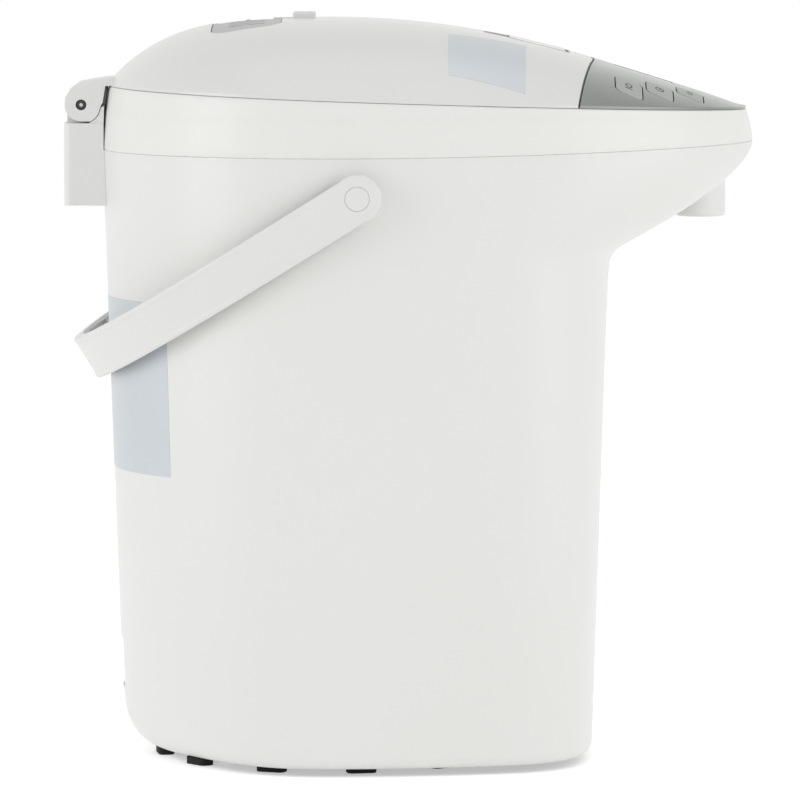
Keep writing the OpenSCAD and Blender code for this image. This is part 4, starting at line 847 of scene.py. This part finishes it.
def crown_rings(edge, centre, skirt_out, skirt_in, foot):
    """Rings of a domed cap: inner dome, skirt, upright edge with a small rounding, and the crown,
    whose rings shrink towards the centre and lie on the height function of the top."""
    rings = [on_crown(shrunk(skirt_in, centre, q), SHELL) for q in (0.12, 0.3, 0.5, 0.7, 0.85, 0.95)]
    rings += [on_crown(skirt_in, SHELL + 0.6), with_z(skirt_in, foot), with_z(skirt_out, foot)]
    rings += [with_z(skirt_out, rim_at(skirt_out[:, 0]) + 0.4), with_z(edge, rim_at(edge[:, 0]) + 0.15)]
    rings += [on_crown(edge, 0.45), on_crown(shrunk(edge, centre, 0.9991), 0.13)]
    shares = 0.997 - np.linspace(0, 1, 34) ** 1.9 * 0.957
    return rings + [on_crown(shrunk(edge, centre, q)) for q in shares]


def hinge_place():
    """The matrix that lays a plan's z axis along the hinge pin, its origin at the pin's middle."""
    return Matrix.Translation((HINGE_X, 0.0, HINGE_Z)) @ Matrix.Rotation(math.pi / 2, 4, "X")


def arm_prism():
    """The tongue of the hinge arm that enters the lid, as a block across the hinge."""
    low = 4.5 + RIM_FALL * BODY_R + 0.4
    outline = np.array([(6.0, low + 2.3), (17.2, low + 3.7), (17.2, low), (6.0, low - 0.5)])
    return prism(outline, -HINGE_W / 2, HINGE_W / 2, hinge_place())


class POT_OT_lid_cover(bpy.types.Operator):
    """Domed lid cover with the openings for the vent, the lever and the fingertips"""
    bl_idname = "pot.lid_cover"
    bl_label = "Lid cover"

    def execute(self, context):
        rings = crown_rings(lid_plan(CAP_IN), 0.0, lid_plan(LID_SKIRT_OUT), lid_plan(LID_SKIRT_IN),
                            LID_FOOT_Z)
        cover = new_mesh("lid_dome", *ring_surface(
            rings, (0.0, 0.0, CREST_Z - SHELL), (0.0, 0.0, CREST_Z)))
        vent = round_rect(VENT_L + 0.4, VENT_W + 0.4, VENT_CORNER, corner=16) + [VENT_X, 0.0]
        link = round_rect(24.8, 6.4, 0.2) + [(VENT_X + TAB_X) / 2, 0.0]
        bolt_z = node_bottom("latch_bolt")
        bolt = round_rect(40.0, 18.3, 0.1) + [LID_FRONT_X - 12.0, 0.0]
        cut(cover,
            prism(round_rect(LEVER_L + 2.4, LEVER_W + 0.8, 4.0), -12.0, 8.0, crest_place(LEVER_X, 0.8)),
            prism(round_rect(17.0, 30.0, 6.0), -12.0, 8.0, crest_place(LEVER_X, -15.4)),
            prism(vent, CREST_Z - 20.0, CREST_Z + 4.0),
            prism(link, CREST_Z - 2.6, CREST_Z + 4.0),
            prism(bolt, bolt_z - 0.15, bolt_z + 2.75),
            arm_prism())
        mark_creases(cover, [lambda x: rim_at(x) + 0.3], 1.2)
        settle(cover, "lid", "lid_white", "lid_cover", smooth=28.0)
        return {"FINISHED"}


def node_bottom(node):
    """Height of a CAD node's lowest point, in mm."""
    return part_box(node)[0][2] * 1000.0


def key_plans():
    """Centre and length of each key: three small ones on the near side, the pouring key on the far."""
    for i, x in enumerate(KEYS_X):
        y = KEY_EDGE + KEY_W / 2 - float(tear_width(x + KEY_L / 2, LID_R, LID_NOSE))
        yield "key_%d" % (i + 1), x, y, KEY_L, 2.2
    y = float(tear_width(POUR_X + POUR_L / 2, LID_R, LID_NOSE)) - KEY_EDGE - KEY_W / 2
    yield "key_pour", POUR_X, y, POUR_L, 3.7


KEY_BODIES = {"key_1": "key_first", "key_2": "key_second", "key_3": "key_third",
              "key_pour": "key_for_pouring"}


class POT_OT_control_panel(bpy.types.Operator):
    """Silver control panel over the beak, with the openings for window and keys"""
    bl_idname = "pot.control_panel"
    bl_label = "Control panel"

    def execute(self, context):
        rings = crown_rings(panel_plan(CAP_IN), PANEL_MID, panel_plan(PANEL_SKIRT_OUT),
                            panel_plan(PANEL_SKIRT_IN), DECK_Z)
        high = float(top_at(PANEL_MID, 0))
        panel = new_mesh("panel_shell", *ring_surface(
            rings, (PANEL_MID, 0.0, high - SHELL), (PANEL_MID, 0.0, high)))
        window = round_rect(WINDOW_L + 0.4, WINDOW_W + 0.4, 3.0)
        holes = [prism(window, -6.0, 6.0, crest_place(WINDOW_X))]
        for _, x, y, length, corner in key_plans():
            low = float(top_at(x + length / 2, abs(y) + KEY_W / 2)) - 3.0
            holes.append(prism(round_rect(length + 0.9, KEY_W + 0.9, corner + 0.4) + [x, y], low, 330.0))
        bolt_z = node_bottom("latch_bolt")
        keeper = round_rect(8.0, 18.8, 0.1) + [LID_FRONT_X + 4.0, 0.0]
        holes.append(prism(keeper, bolt_z - 0.4, bolt_z + 3.0))
        cut(panel, *holes)
        mark_creases(panel, [lambda x: rim_at(x) + 0.3], 1.2)
        settle(panel, "pot", "panel_grey", "control_panel", smooth=28.0)
        return {"FINISHED"}


def print_stroke(path, width, place_x, place_y, lift):
    """A printed line on the crown: a path in the key's plane widened by half its width each way."""
    path = np.asarray(path, float)
    along = np.gradient(path, axis=0)
    along /= np.linalg.norm(along, axis=1)[:, None]
    side = np.column_stack([-along[:, 1], along[:, 0]]) * width / 2
    left, right = path + side + [place_x, place_y], path - side + [place_x, place_y]
    rings = [on_crown(right, 0.1 - lift), on_crown(right, -lift), on_crown(left, -lift),
             on_crown(left, 0.1 - lift)]
    return bar_surface(np.stack(rings, axis=1))


class POT_OT_keys(bpy.types.Operator):
    """Key caps that follow the panel's crown, each with a plain printed mark"""
    bl_idname = "pot.keys"
    bl_label = "Keys"

    def execute(self, context):
        size = context.scene.pot_sizes.key_mark * 1000.0
        t = np.linspace(0, 2 * math.pi, 25)
        ring = np.column_stack([np.cos(t), np.sin(t)]) * size / 2
        marks = {
            "key_1": [ring * 0.62 + [0, 0.5], [(-1.6, -1.9), (1.6, -1.9)]],
            "key_2": [ring * 0.8, [(0, 0), (0, 1.1)], [(0, 0), (0.8, 0)]],
            "key_3": [ring * 0.45 + [0, -0.9], [(-1.4, 1.3), (0, 2.0), (1.4, 1.3)]],
            "key_pour": [ring * 0.8 + [0, 0], [(-4.5, -2.9), (4.5, -2.9)]],
        }
        for name, x, y, length, corner in key_plans():
            plan = round_rect(length, KEY_W, corner) + [x, y]
            cap = new_mesh(name + "_cap", *plate_surface(plan, 1.9, 0.5, on_top=True, drop=-0.3))
            settle(cap, KEY_BODIES[name], "key_grey", name)
            strokes = [print_stroke(path, 0.6, x, y, 0.33) for path in marks[name]]
            mark = new_mesh(name + "_mark", *joined(*strokes))
            settle(mark, KEY_BODIES[name], "key_grey", finish="Print Grey")
        return {"FINISHED"}


class POT_OT_vent(bpy.types.Operator):
    """Steam vent across the lid: a slotted plate set into the crown, and the tab that lifts it out"""
    bl_idname = "pot.vent"
    bl_label = "Steam vent"

    def execute(self, context):
        def ring(inset, drop):
            corner = max(VENT_CORNER - inset, 0.2)
            plan = round_rect(VENT_L - 2 * inset, VENT_W - 2 * inset, corner, 10, 12)
            return on_crown(plan + [VENT_X, 0.0], VENT_DROP + drop)

        rings = [ring(9.0, 2.0), ring(0.5, 2.0), ring(0.0, 1.5), ring(0.0, 0.4), ring(0.12, 0.12),
                 ring(0.4, 0.0), ring(1.5, 0.0), ring(1.9, 0.06), ring(2.3, 0.24), ring(2.7, 0.3)]
        rings += [ring(d, 0.3) for d in (5.0, 8.0, 11.0, 13.6)]
        plate = new_mesh("vent_plate", *ring_surface(
            rings, (VENT_X, 0.0, CREST_Z - VENT_DROP - 2.0), (VENT_X, 0.0, CREST_Z - VENT_DROP - 0.3)))
        neck = turned_surface([(0, CREST_Z - 12.0), (10.0, CREST_Z - 12.0), (10.0, CREST_Z - 2.2),
                               (0, CREST_Z - 2.2)], Matrix.Translation((VENT_X, 0.0, 0.0)))
        slot = round_rect(16.0, 2.0, 0.95) + [VENT_X, 0.0]
        fuse(plate, neck)
        cut(plate, joined(*[prism(slot + [0.0, i * 7.2], CREST_Z - 14.0, CREST_Z) for i in range(-4, 5)]))
        settle(plate, "lid", "vent_grey", "steam_vent")
        points, faces = plate_surface(round_rect(10.0, 12.0, 2.0) + [TAB_X, 0.0], 2.9, 1.0)
        link = prism(round_rect(13.6, 6.0, 0.6) + [TAB_X - 6.8, 0.0], CREST_Z - 2.4, CREST_Z + 0.2)
        tab = new_mesh("vent_tab", *joined((points + [0.0, 0.0, CREST_Z + 2.8], faces), link))
        settle(tab, "lid", "vent_grey", finish="Tab Grey")
        return {"FINISHED"}


class POT_OT_display(bpy.types.Operator):
    """Smoked display window set into the panel"""
    bl_idname = "pot.display"
    bl_label = "Display window"

    def execute(self, context):
        plan = round_rect(WINDOW_L, WINDOW_W, 3.0)
        window = new_mesh("display_pane", *plate_surface(
            plan, 1.8, 0.35, crest_place(WINDOW_X, lift=-0.15)))
        settle(window, "pot", "window_dark", "display_window")
        return {"FINISHED"}


def bail_line(a):
    """Middle line of the strap: a superellipse of exponent 2.3, for an angle from -90 to 90."""
    c, s = np.cos(a), np.sin(a)
    return np.column_stack([BAIL_REACH * np.abs(c) ** (2 / BAIL_POWER),
                            BAIL_HALF * np.abs(s) ** (2 / BAIL_POWER) * np.sign(s)])


def strap_section(floor):
    """Section of the strap, as offsets outwards and across: a shallow dish between two rounded rims
    outside, and a channel of the given floor inside."""
    t, w = BAIL_T / 2, BAIL_W / 2
    half = np.array([(t - 0.40, w - 3.4), (t - 0.38, w - 2.8), (t - 0.22, w - 2.2), (t - 0.04, w - 1.7),
                     (t, w - 1.2), (t - 0.09, w - 0.6), (t - DISH, w - 0.17), (t - 1.1, w),
                     (0.1 - t, w), (-t, w - 0.3), (-t, w - 1.8), (floor, w - 1.8)])
    return np.vstack([half, half[::-1] * [1, -1]])


def strap_surface():
    """The strap: its section carried along the superellipse, with the deep floor on every rib."""
    inner = np.radians(90 - 180 * (np.arange(RIBS) + 1) / (RIBS + 1))
    half = 0.8 / np.linalg.norm(bail_line(inner + 0.0087) - bail_line(inner - 0.0087), axis=1) * 0.01745
    smooth = np.radians(np.linspace(89.4, -89.4, 140))
    stops = np.concatenate([smooth, inner + half, inner - half, inner + half + 2e-3, inner - half - 2e-3])
    stops = np.sort(stops)[::-1]
    rib = (np.abs(stops[:, None] - inner[None, :]) <= half[None, :] + 1e-6).any(axis=1)
    keep = np.concatenate([[True], np.diff(stops) < -2e-4])
    stops, rib = stops[keep], rib[keep]
    middle = bail_line(stops)
    ahead = bail_line(stops - 0.004) - bail_line(stops + 0.004)
    ahead /= np.linalg.norm(ahead, axis=1)[:, None]
    out = np.column_stack([-ahead[:, 1], ahead[:, 0]])
    section = np.where(rib[:, None, None], strap_section(0.6 - BAIL_T / 2)[None], strap_section(0.4)[None])
    rings = np.concatenate([middle[:, None, :] + out[:, None, :] * section[:, :, :1],
                            section[:, :, 1:]], axis=-1)
    return bar_surface(rings)


def eye_surface(side):
    """One eye in the bail's plane: a turned disc whose outer rim fades out towards the strap, by a
    smooth step of the angle from the strap between 55 and 80 degrees."""
    t = BAIL_T / 2
    profile = [(0, -2.8), (9.0, -2.8), (9.9, -2.5), (EYE_R, -1.7), (EYE_R, t - 1.1), (10.13, t - DISH),
               (9.7, t - 0.09), (9.1, t), (8.6, t - 0.04), (8.1, t - 0.22), (7.5, t - 0.40),
               (6.9, t - DISH), (0, t - DISH)]
    points, faces = turned_surface(profile)
    far = np.degrees(np.abs(np.arctan2(points[:, 1], points[:, 0])))
    fade = np.clip((far - 55.0) / 25.0, 0.0, 1.0)
    fade = fade * fade * (3 - 2 * fade)
    rim = t - DISH
    high = np.where(points[:, 2] > rim, rim + (points[:, 2] - rim) * fade, points[:, 2])
    return np.column_stack([points[:, 0], side * (BAIL_HALF + high), points[:, 1]]), faces


class POT_OT_bail(bpy.types.Operator):
    """Swinging bail: a ribbed channel strap that ends in two round eyes, and the caps on its pivots"""
    bl_idname = "pot.bail"
    bl_label = "Bail"

    def execute(self, context):
        place = Matrix.Translation((BAIL_X, 0.0, BAIL_Z)) @ Matrix.Rotation(
            math.radians(180 - BAIL_REST), 4, "Y")
        points, faces = strap_surface()
        bail = new_mesh("bail_strap", moved(points, place), faces)
        for side in (1, -1):
            points, faces = eye_surface(side)
            fuse(bail, (moved(points, place), faces))
        for side in (1, -1):
            spin = Matrix.Translation((BAIL_X, side * BAIL_HALF, BAIL_Z)) @ Matrix.Rotation(
                -side * math.pi / 2, 4, "X")
            cut(bail, turned_surface([(0, -6), (EYE_BORE, -6), (EYE_BORE, 1.2), (CAP_R + 0.08, 1.2),
                                      (CAP_R + 0.08, 6), (0, 6)], spin, 72))
            cap = [(0, 1.25), (CAP_R, 1.25), (CAP_R, 1.85), (CAP_R - 0.08, 2.02), (CAP_R - 0.3, 2.1),
                   (CAP_R - 0.9, 2.13), (3.4, 2.2), (2.4, 2.36), (1.3, 2.5), (0.6, 2.55), (0, 2.56)]
            disc = new_mesh("bail_cap_%s" % ("far" if side > 0 else "near"), *turned_surface(cap, spin, 72))
            settle(disc, "pot", "trim_white", "bail_caps")
        settle(bail, "bail", "trim_white", "bail", smooth=35.0)
        return {"FINISHED"}


class POT_OT_nozzle(bpy.types.Operator):
    """Spout nozzle under the beak, with a flared bore"""
    bl_idname = "pot.nozzle"
    bl_label = "Nozzle"

    def execute(self, context):
        r, b, z = NOZZLE_R, NOZZLE_BORE, NOZZLE_Z
        profile = [(b + 3.2, z + 0.3), (b + 3.6, z), (r - 1.6, z), (r - 0.8, z + 0.2), (r - 0.2, z + 0.8),
                   (r, z + 1.6), (r, NOZZLE_TOP), (b, NOZZLE_TOP), (b, z + 5.0)]
        nozzle = new_mesh("nozzle_shell", *turned_surface(
            profile, Matrix.Translation((NOZZLE_X, 0.0, 0.0))))
        settle(nozzle, "pot", "trim_white", "spout_nozzle")
        return {"FINISHED"}


class POT_OT_trim(bpy.types.Operator):
    """Hinge with its pin, web and cheeks, lever, pivots, feet, base, inlet and gauge window"""
    bl_idname = "pot.trim"
    bl_label = "Hinge, lever and feet"

    def execute(self, context):
        edge = context.scene.pot_sizes.edge * 1000.0
        end = HINGE_W / 2 - 0.5
        half = np.array([(0, end - 0.1), (0.7, end - 0.1), (0.95, end - 0.3), (1.05, end - 1.6),
                         (1.95, end - 1.6), (2.05, end - 0.3), (2.15, end), (PIN_R - 0.05, end),
                         (PIN_R, end - 0.2)])
        across = hinge_place()
        # the pin's end ring is painted dark as shade round the lighter steel core; its groove casts real
        # shade as well
        pin = new_mesh("hinge_pin_turned", *turned_surface(
            np.vstack([half * [1, -1], half[::-1]]), across, 48))
        settle(pin, "pot", "steel", "hinge_pin", finish="Steel With Painted Shade")
        core = new_mesh("hinge_pin_core", *turned_surface(
            [(0, -end - 0.1), (0.75, -end - 0.1), (0.9, 0.05 - end), (0.9, end - 0.05),
             (0.75, end + 0.1), (0, end + 0.1)], across, 32))
        settle(core, "pot", "steel")
        web = np.array([(0, -18.5), (8.5, -18.5), (8.9, -12), (10.1, 0), (11.0, 7.4), (4.0, 7.9), (0, 6)])
        a = np.radians(np.linspace(-69.0, -8.0, 14))
        cheek = np.vstack([np.column_stack([np.cos(a), np.sin(a)]) * (HINGE_BACK - 0.05),
                           [(10.0, -0.5), (9.8, -8.3), (3.1, -8.3)]])
        knuckle = new_mesh("hinge_web", *joined(
            prism(web, -7.4, 7.4, across), prism(cheek, 8.3, end, across),
            prism(cheek, -end, -8.3, across)))
        settle(knuckle, "pot", "trim_white")
        for node, body, slot, width in (
                ("hinge_bracket", "pot", "trim_white", edge * 1.6),
                ("lid_hinge_arm", "lid", "trim_white", edge * 1.2),
                ("lid_lever", "lever", "lid_white", edge),
                ("bail_pivots", "pot", "trim_white", edge * 0.6),
                ("rubber_feet", "pot", "rubber_black", edge),
                ("base_plate", "pot", "base_black", edge * 0.6),
                ("power_inlet", "pot", "base_black", edge * 0.8),
                ("gauge_window", "pot", "gauge_clear", edge * 0.5)):
            finished_node(node, body, slot, width)
        return {"FINISHED"}


class POT_OT_plates(bpy.types.Operator):
    """Bare plates: one on the lid's near side and one round the rear of the body"""
    bl_idname = "pot.plates"
    bl_label = "Bare plates"

    def execute(self, context):
        t = context.scene.pot_sizes.plate_t * 1000.0
        u, v = np.meshgrid(np.linspace(0, 1, 33), np.linspace(0, 1, 25), indexing="ij")
        x = 50.7 + 33.9 * u - 1.2 * u * v
        y = -(47.8 - 7.4 * u) * (1 - v) - (82.6 - 2.0 * u) * v
        lid = np.stack([x, y, top_at(x, y)], axis=-1)
        thin_sheet("lid_plate", lid, t, "lid")
        a, h = np.meshgrid(np.radians(np.linspace(-136, -196, 61)), np.linspace(127.4, 202.7, 21),
                           indexing="ij")
        r = radius_at(h)
        rear = np.stack([r * np.cos(a), r * np.sin(a), h], axis=-1)
        thin_sheet("rear_plate", rear, t, "pot")
        return {"FINISHED"}


def thin_sheet(name, grid, thick, body):
    """A closed sheet over a grid of surface points: the grid moved out by thick along its normals."""
    du = np.gradient(grid, axis=0)
    dv = np.gradient(grid, axis=1)
    n = np.cross(du, dv)
    n /= np.linalg.norm(n, axis=-1, keepdims=True)
    outward = grid - np.array([0.0, 0.0, 200.0])
    n *= np.sign((n * outward).sum(axis=-1, keepdims=True))
    m, k = grid.shape[:2]
    layers = [(grid - 0.3 * n).reshape(-1, 3), (grid + thick * n).reshape(-1, 3)]
    i, j = np.meshgrid(np.arange(m - 1), np.arange(k - 1), indexing="ij")
    a = (i * k + j).ravel()
    quad = np.stack([a, a + k, a + k + 1, a + 1], axis=-1)
    faces = (quad + m * k).tolist() + quad[:, ::-1].tolist()
    rim = np.concatenate([np.arange(m) * k, (m - 1) * k + np.arange(1, k),
                          np.arange(m - 2, -1, -1) * k + k - 1, np.arange(k - 2, 0, -1)])
    nxt = np.roll(rim, -1)
    faces += np.stack([rim, nxt, nxt + m * k, rim + m * k], axis=-1).tolist()
    plate = new_mesh(name, np.vstack(layers), faces)
    settle(plate, body, "panel_grey", finish="Bare Plate", smooth=40.0)


class POT_OT_studio(bpy.types.Operator):
    """Pale floor, white surroundings, soft lamps and the camera"""
    bl_idname = "pot.studio"
    bl_label = "Studio"

    def execute(self, context):
        scene = context.scene
        scene.view_settings.view_transform = "Standard"
        self.floor()
        self.world(scene)
        for name, place, aim_z, size, power in (
                ("Left Lamp", (-1.80, -0.95, 0.55), 0.15, (1.1, 1.5), 11.0),
                ("Right Lamp", (1.75, -0.98, 0.50), 0.15, (1.1, 1.5), 11.0),
                ("Top Lamp", (0.0, -0.2, 2.2), 0.2, (1.8, 1.8), 4.5)):
            lamp = bpy.data.lights.new(name, "AREA")
            lamp.shape, lamp.size, lamp.size_y, lamp.energy = "RECTANGLE", *size, power
            obj = bpy.data.objects.new(name, lamp)
            obj.location = place
            aim = Vector((0.0, 0.0, aim_z)) - Vector(place)
            obj.rotation_euler = aim.to_track_quat("-Z", "Y").to_euler()
            scene.collection.objects.link(obj)
        lens = bpy.data.cameras.new("Camera")
        lens.lens, lens.sensor_width, lens.clip_end = CAMERA_LENS, 36.0, 20.0
        eye = bpy.data.objects.new("Camera", lens)
        eye.location = CAMERA_AT
        eye.rotation_euler = (math.radians(90 - CAMERA_PITCH), 0.0, 0.0)
        scene.collection.objects.link(eye)
        scene.camera = eye
        return {"FINISHED"}

    def pick_seen(self, tree, kind, lit, seen):
        """One shader of two strengths: lit for light that falls on the pot, seen for the rays of the
        camera, of reflections and of glass."""
        path = add_node(tree, "ShaderNodeLightPath").outputs
        either = maths(tree, "ADD", path["Is Camera Ray"], path["Is Glossy Ray"])
        shown = maths(tree, "ADD", either, path["Is Transmission Ray"], clamp=True)
        white = (1.0, 1.0, 1.0, 1.0)
        first, second = [add_node(tree, kind, {"Color": white, "Strength": strength}).outputs[0]
                         for strength in (lit, seen)]
        return add_node(tree, "ShaderNodeMixShader", {0: shown, 1: first, 2: second}).outputs[0]

    def floor(self):
        floor = new_mesh("floor", *turned_surface(
            [(4000, 0), (1200, 0), (400, 0), (0, 0)], Matrix.Translation((MID_X, 0.0, 0.0))))
        tree, shader = new_material("Studio Floor")
        speck = add_node(tree, "ShaderNodeTexNoise", {"Scale": 60.0, "Detail": 4.0}).outputs["Fac"]
        tone = blend(tree, speck, (0.80, 0.80, 0.80, 1.0), (0.84, 0.84, 0.84, 1.0))
        tree.links.new(tone, shader.inputs["Base Color"])
        shader.inputs["Roughness"].default_value = 0.9
        both = add_node(tree, "ShaderNodeAddShader", {
            0: shader.outputs[0], 1: self.pick_seen(tree, "ShaderNodeEmission", 0.22, 0.45)})
        tree.links.new(both.outputs[0], tree.nodes["Material Output"].inputs["Surface"])
        floor.data.materials.append(bpy.data.materials["Studio Floor"])

    def world(self, scene):
        world = bpy.data.worlds.new("Studio")
        scene.world = world
        world.use_nodes = True
        tree = world.node_tree
        tree.nodes.remove(tree.nodes["Background"])
        tree.links.new(self.pick_seen(tree, "ShaderNodeBackground", 0.62, 1.0),
                       tree.nodes["World Output"].inputs["Surface"])


PIECE_OPERATORS = (
    POT_OT_finishes, POT_OT_body_shell, POT_OT_top_frame, POT_OT_lid_cover, POT_OT_control_panel,
    POT_OT_keys, POT_OT_vent, POT_OT_display, POT_OT_bail, POT_OT_nozzle, POT_OT_trim,
    POT_OT_plates, POT_OT_studio)


class POT_PT_panel(bpy.types.Panel):
    """Lists the pot's settings and its pieces"""
    bl_idname = "POT_PT_panel"
    bl_label = "Thermo Pot"
    bl_space_type = "VIEW_3D"
    bl_region_type = "UI"
    bl_category = "Thermo Pot"

    def draw(self, context):
        column = self.layout.column()
        for settings in (context.scene.pot_colours, context.scene.pot_sizes):
            for name in settings.__annotations__:
                column.prop(settings, name)
        for operator in PIECE_OPERATORS:
            column.operator(operator.bl_idname)


CLASSES = (PotColours, PotSizes, *PIECE_OPERATORS, POT_PT_panel)


def register():
    for cls in CLASSES:
        bpy.utils.register_class(cls)
    bpy.types.Scene.pot_colours = PointerProperty(type=PotColours)
    bpy.types.Scene.pot_sizes = PointerProperty(type=PotSizes)


def unregister():
    del bpy.types.Scene.pot_sizes
    del bpy.types.Scene.pot_colours
    for cls in reversed(CLASSES):
        bpy.utils.unregister_class(cls)


def main():
    register()
    for operator in PIECE_OPERATORS:
        group, name = operator.bl_idname.split(".")
        getattr(getattr(bpy.ops, group), name)()


if __name__ == "__main__":
    main()
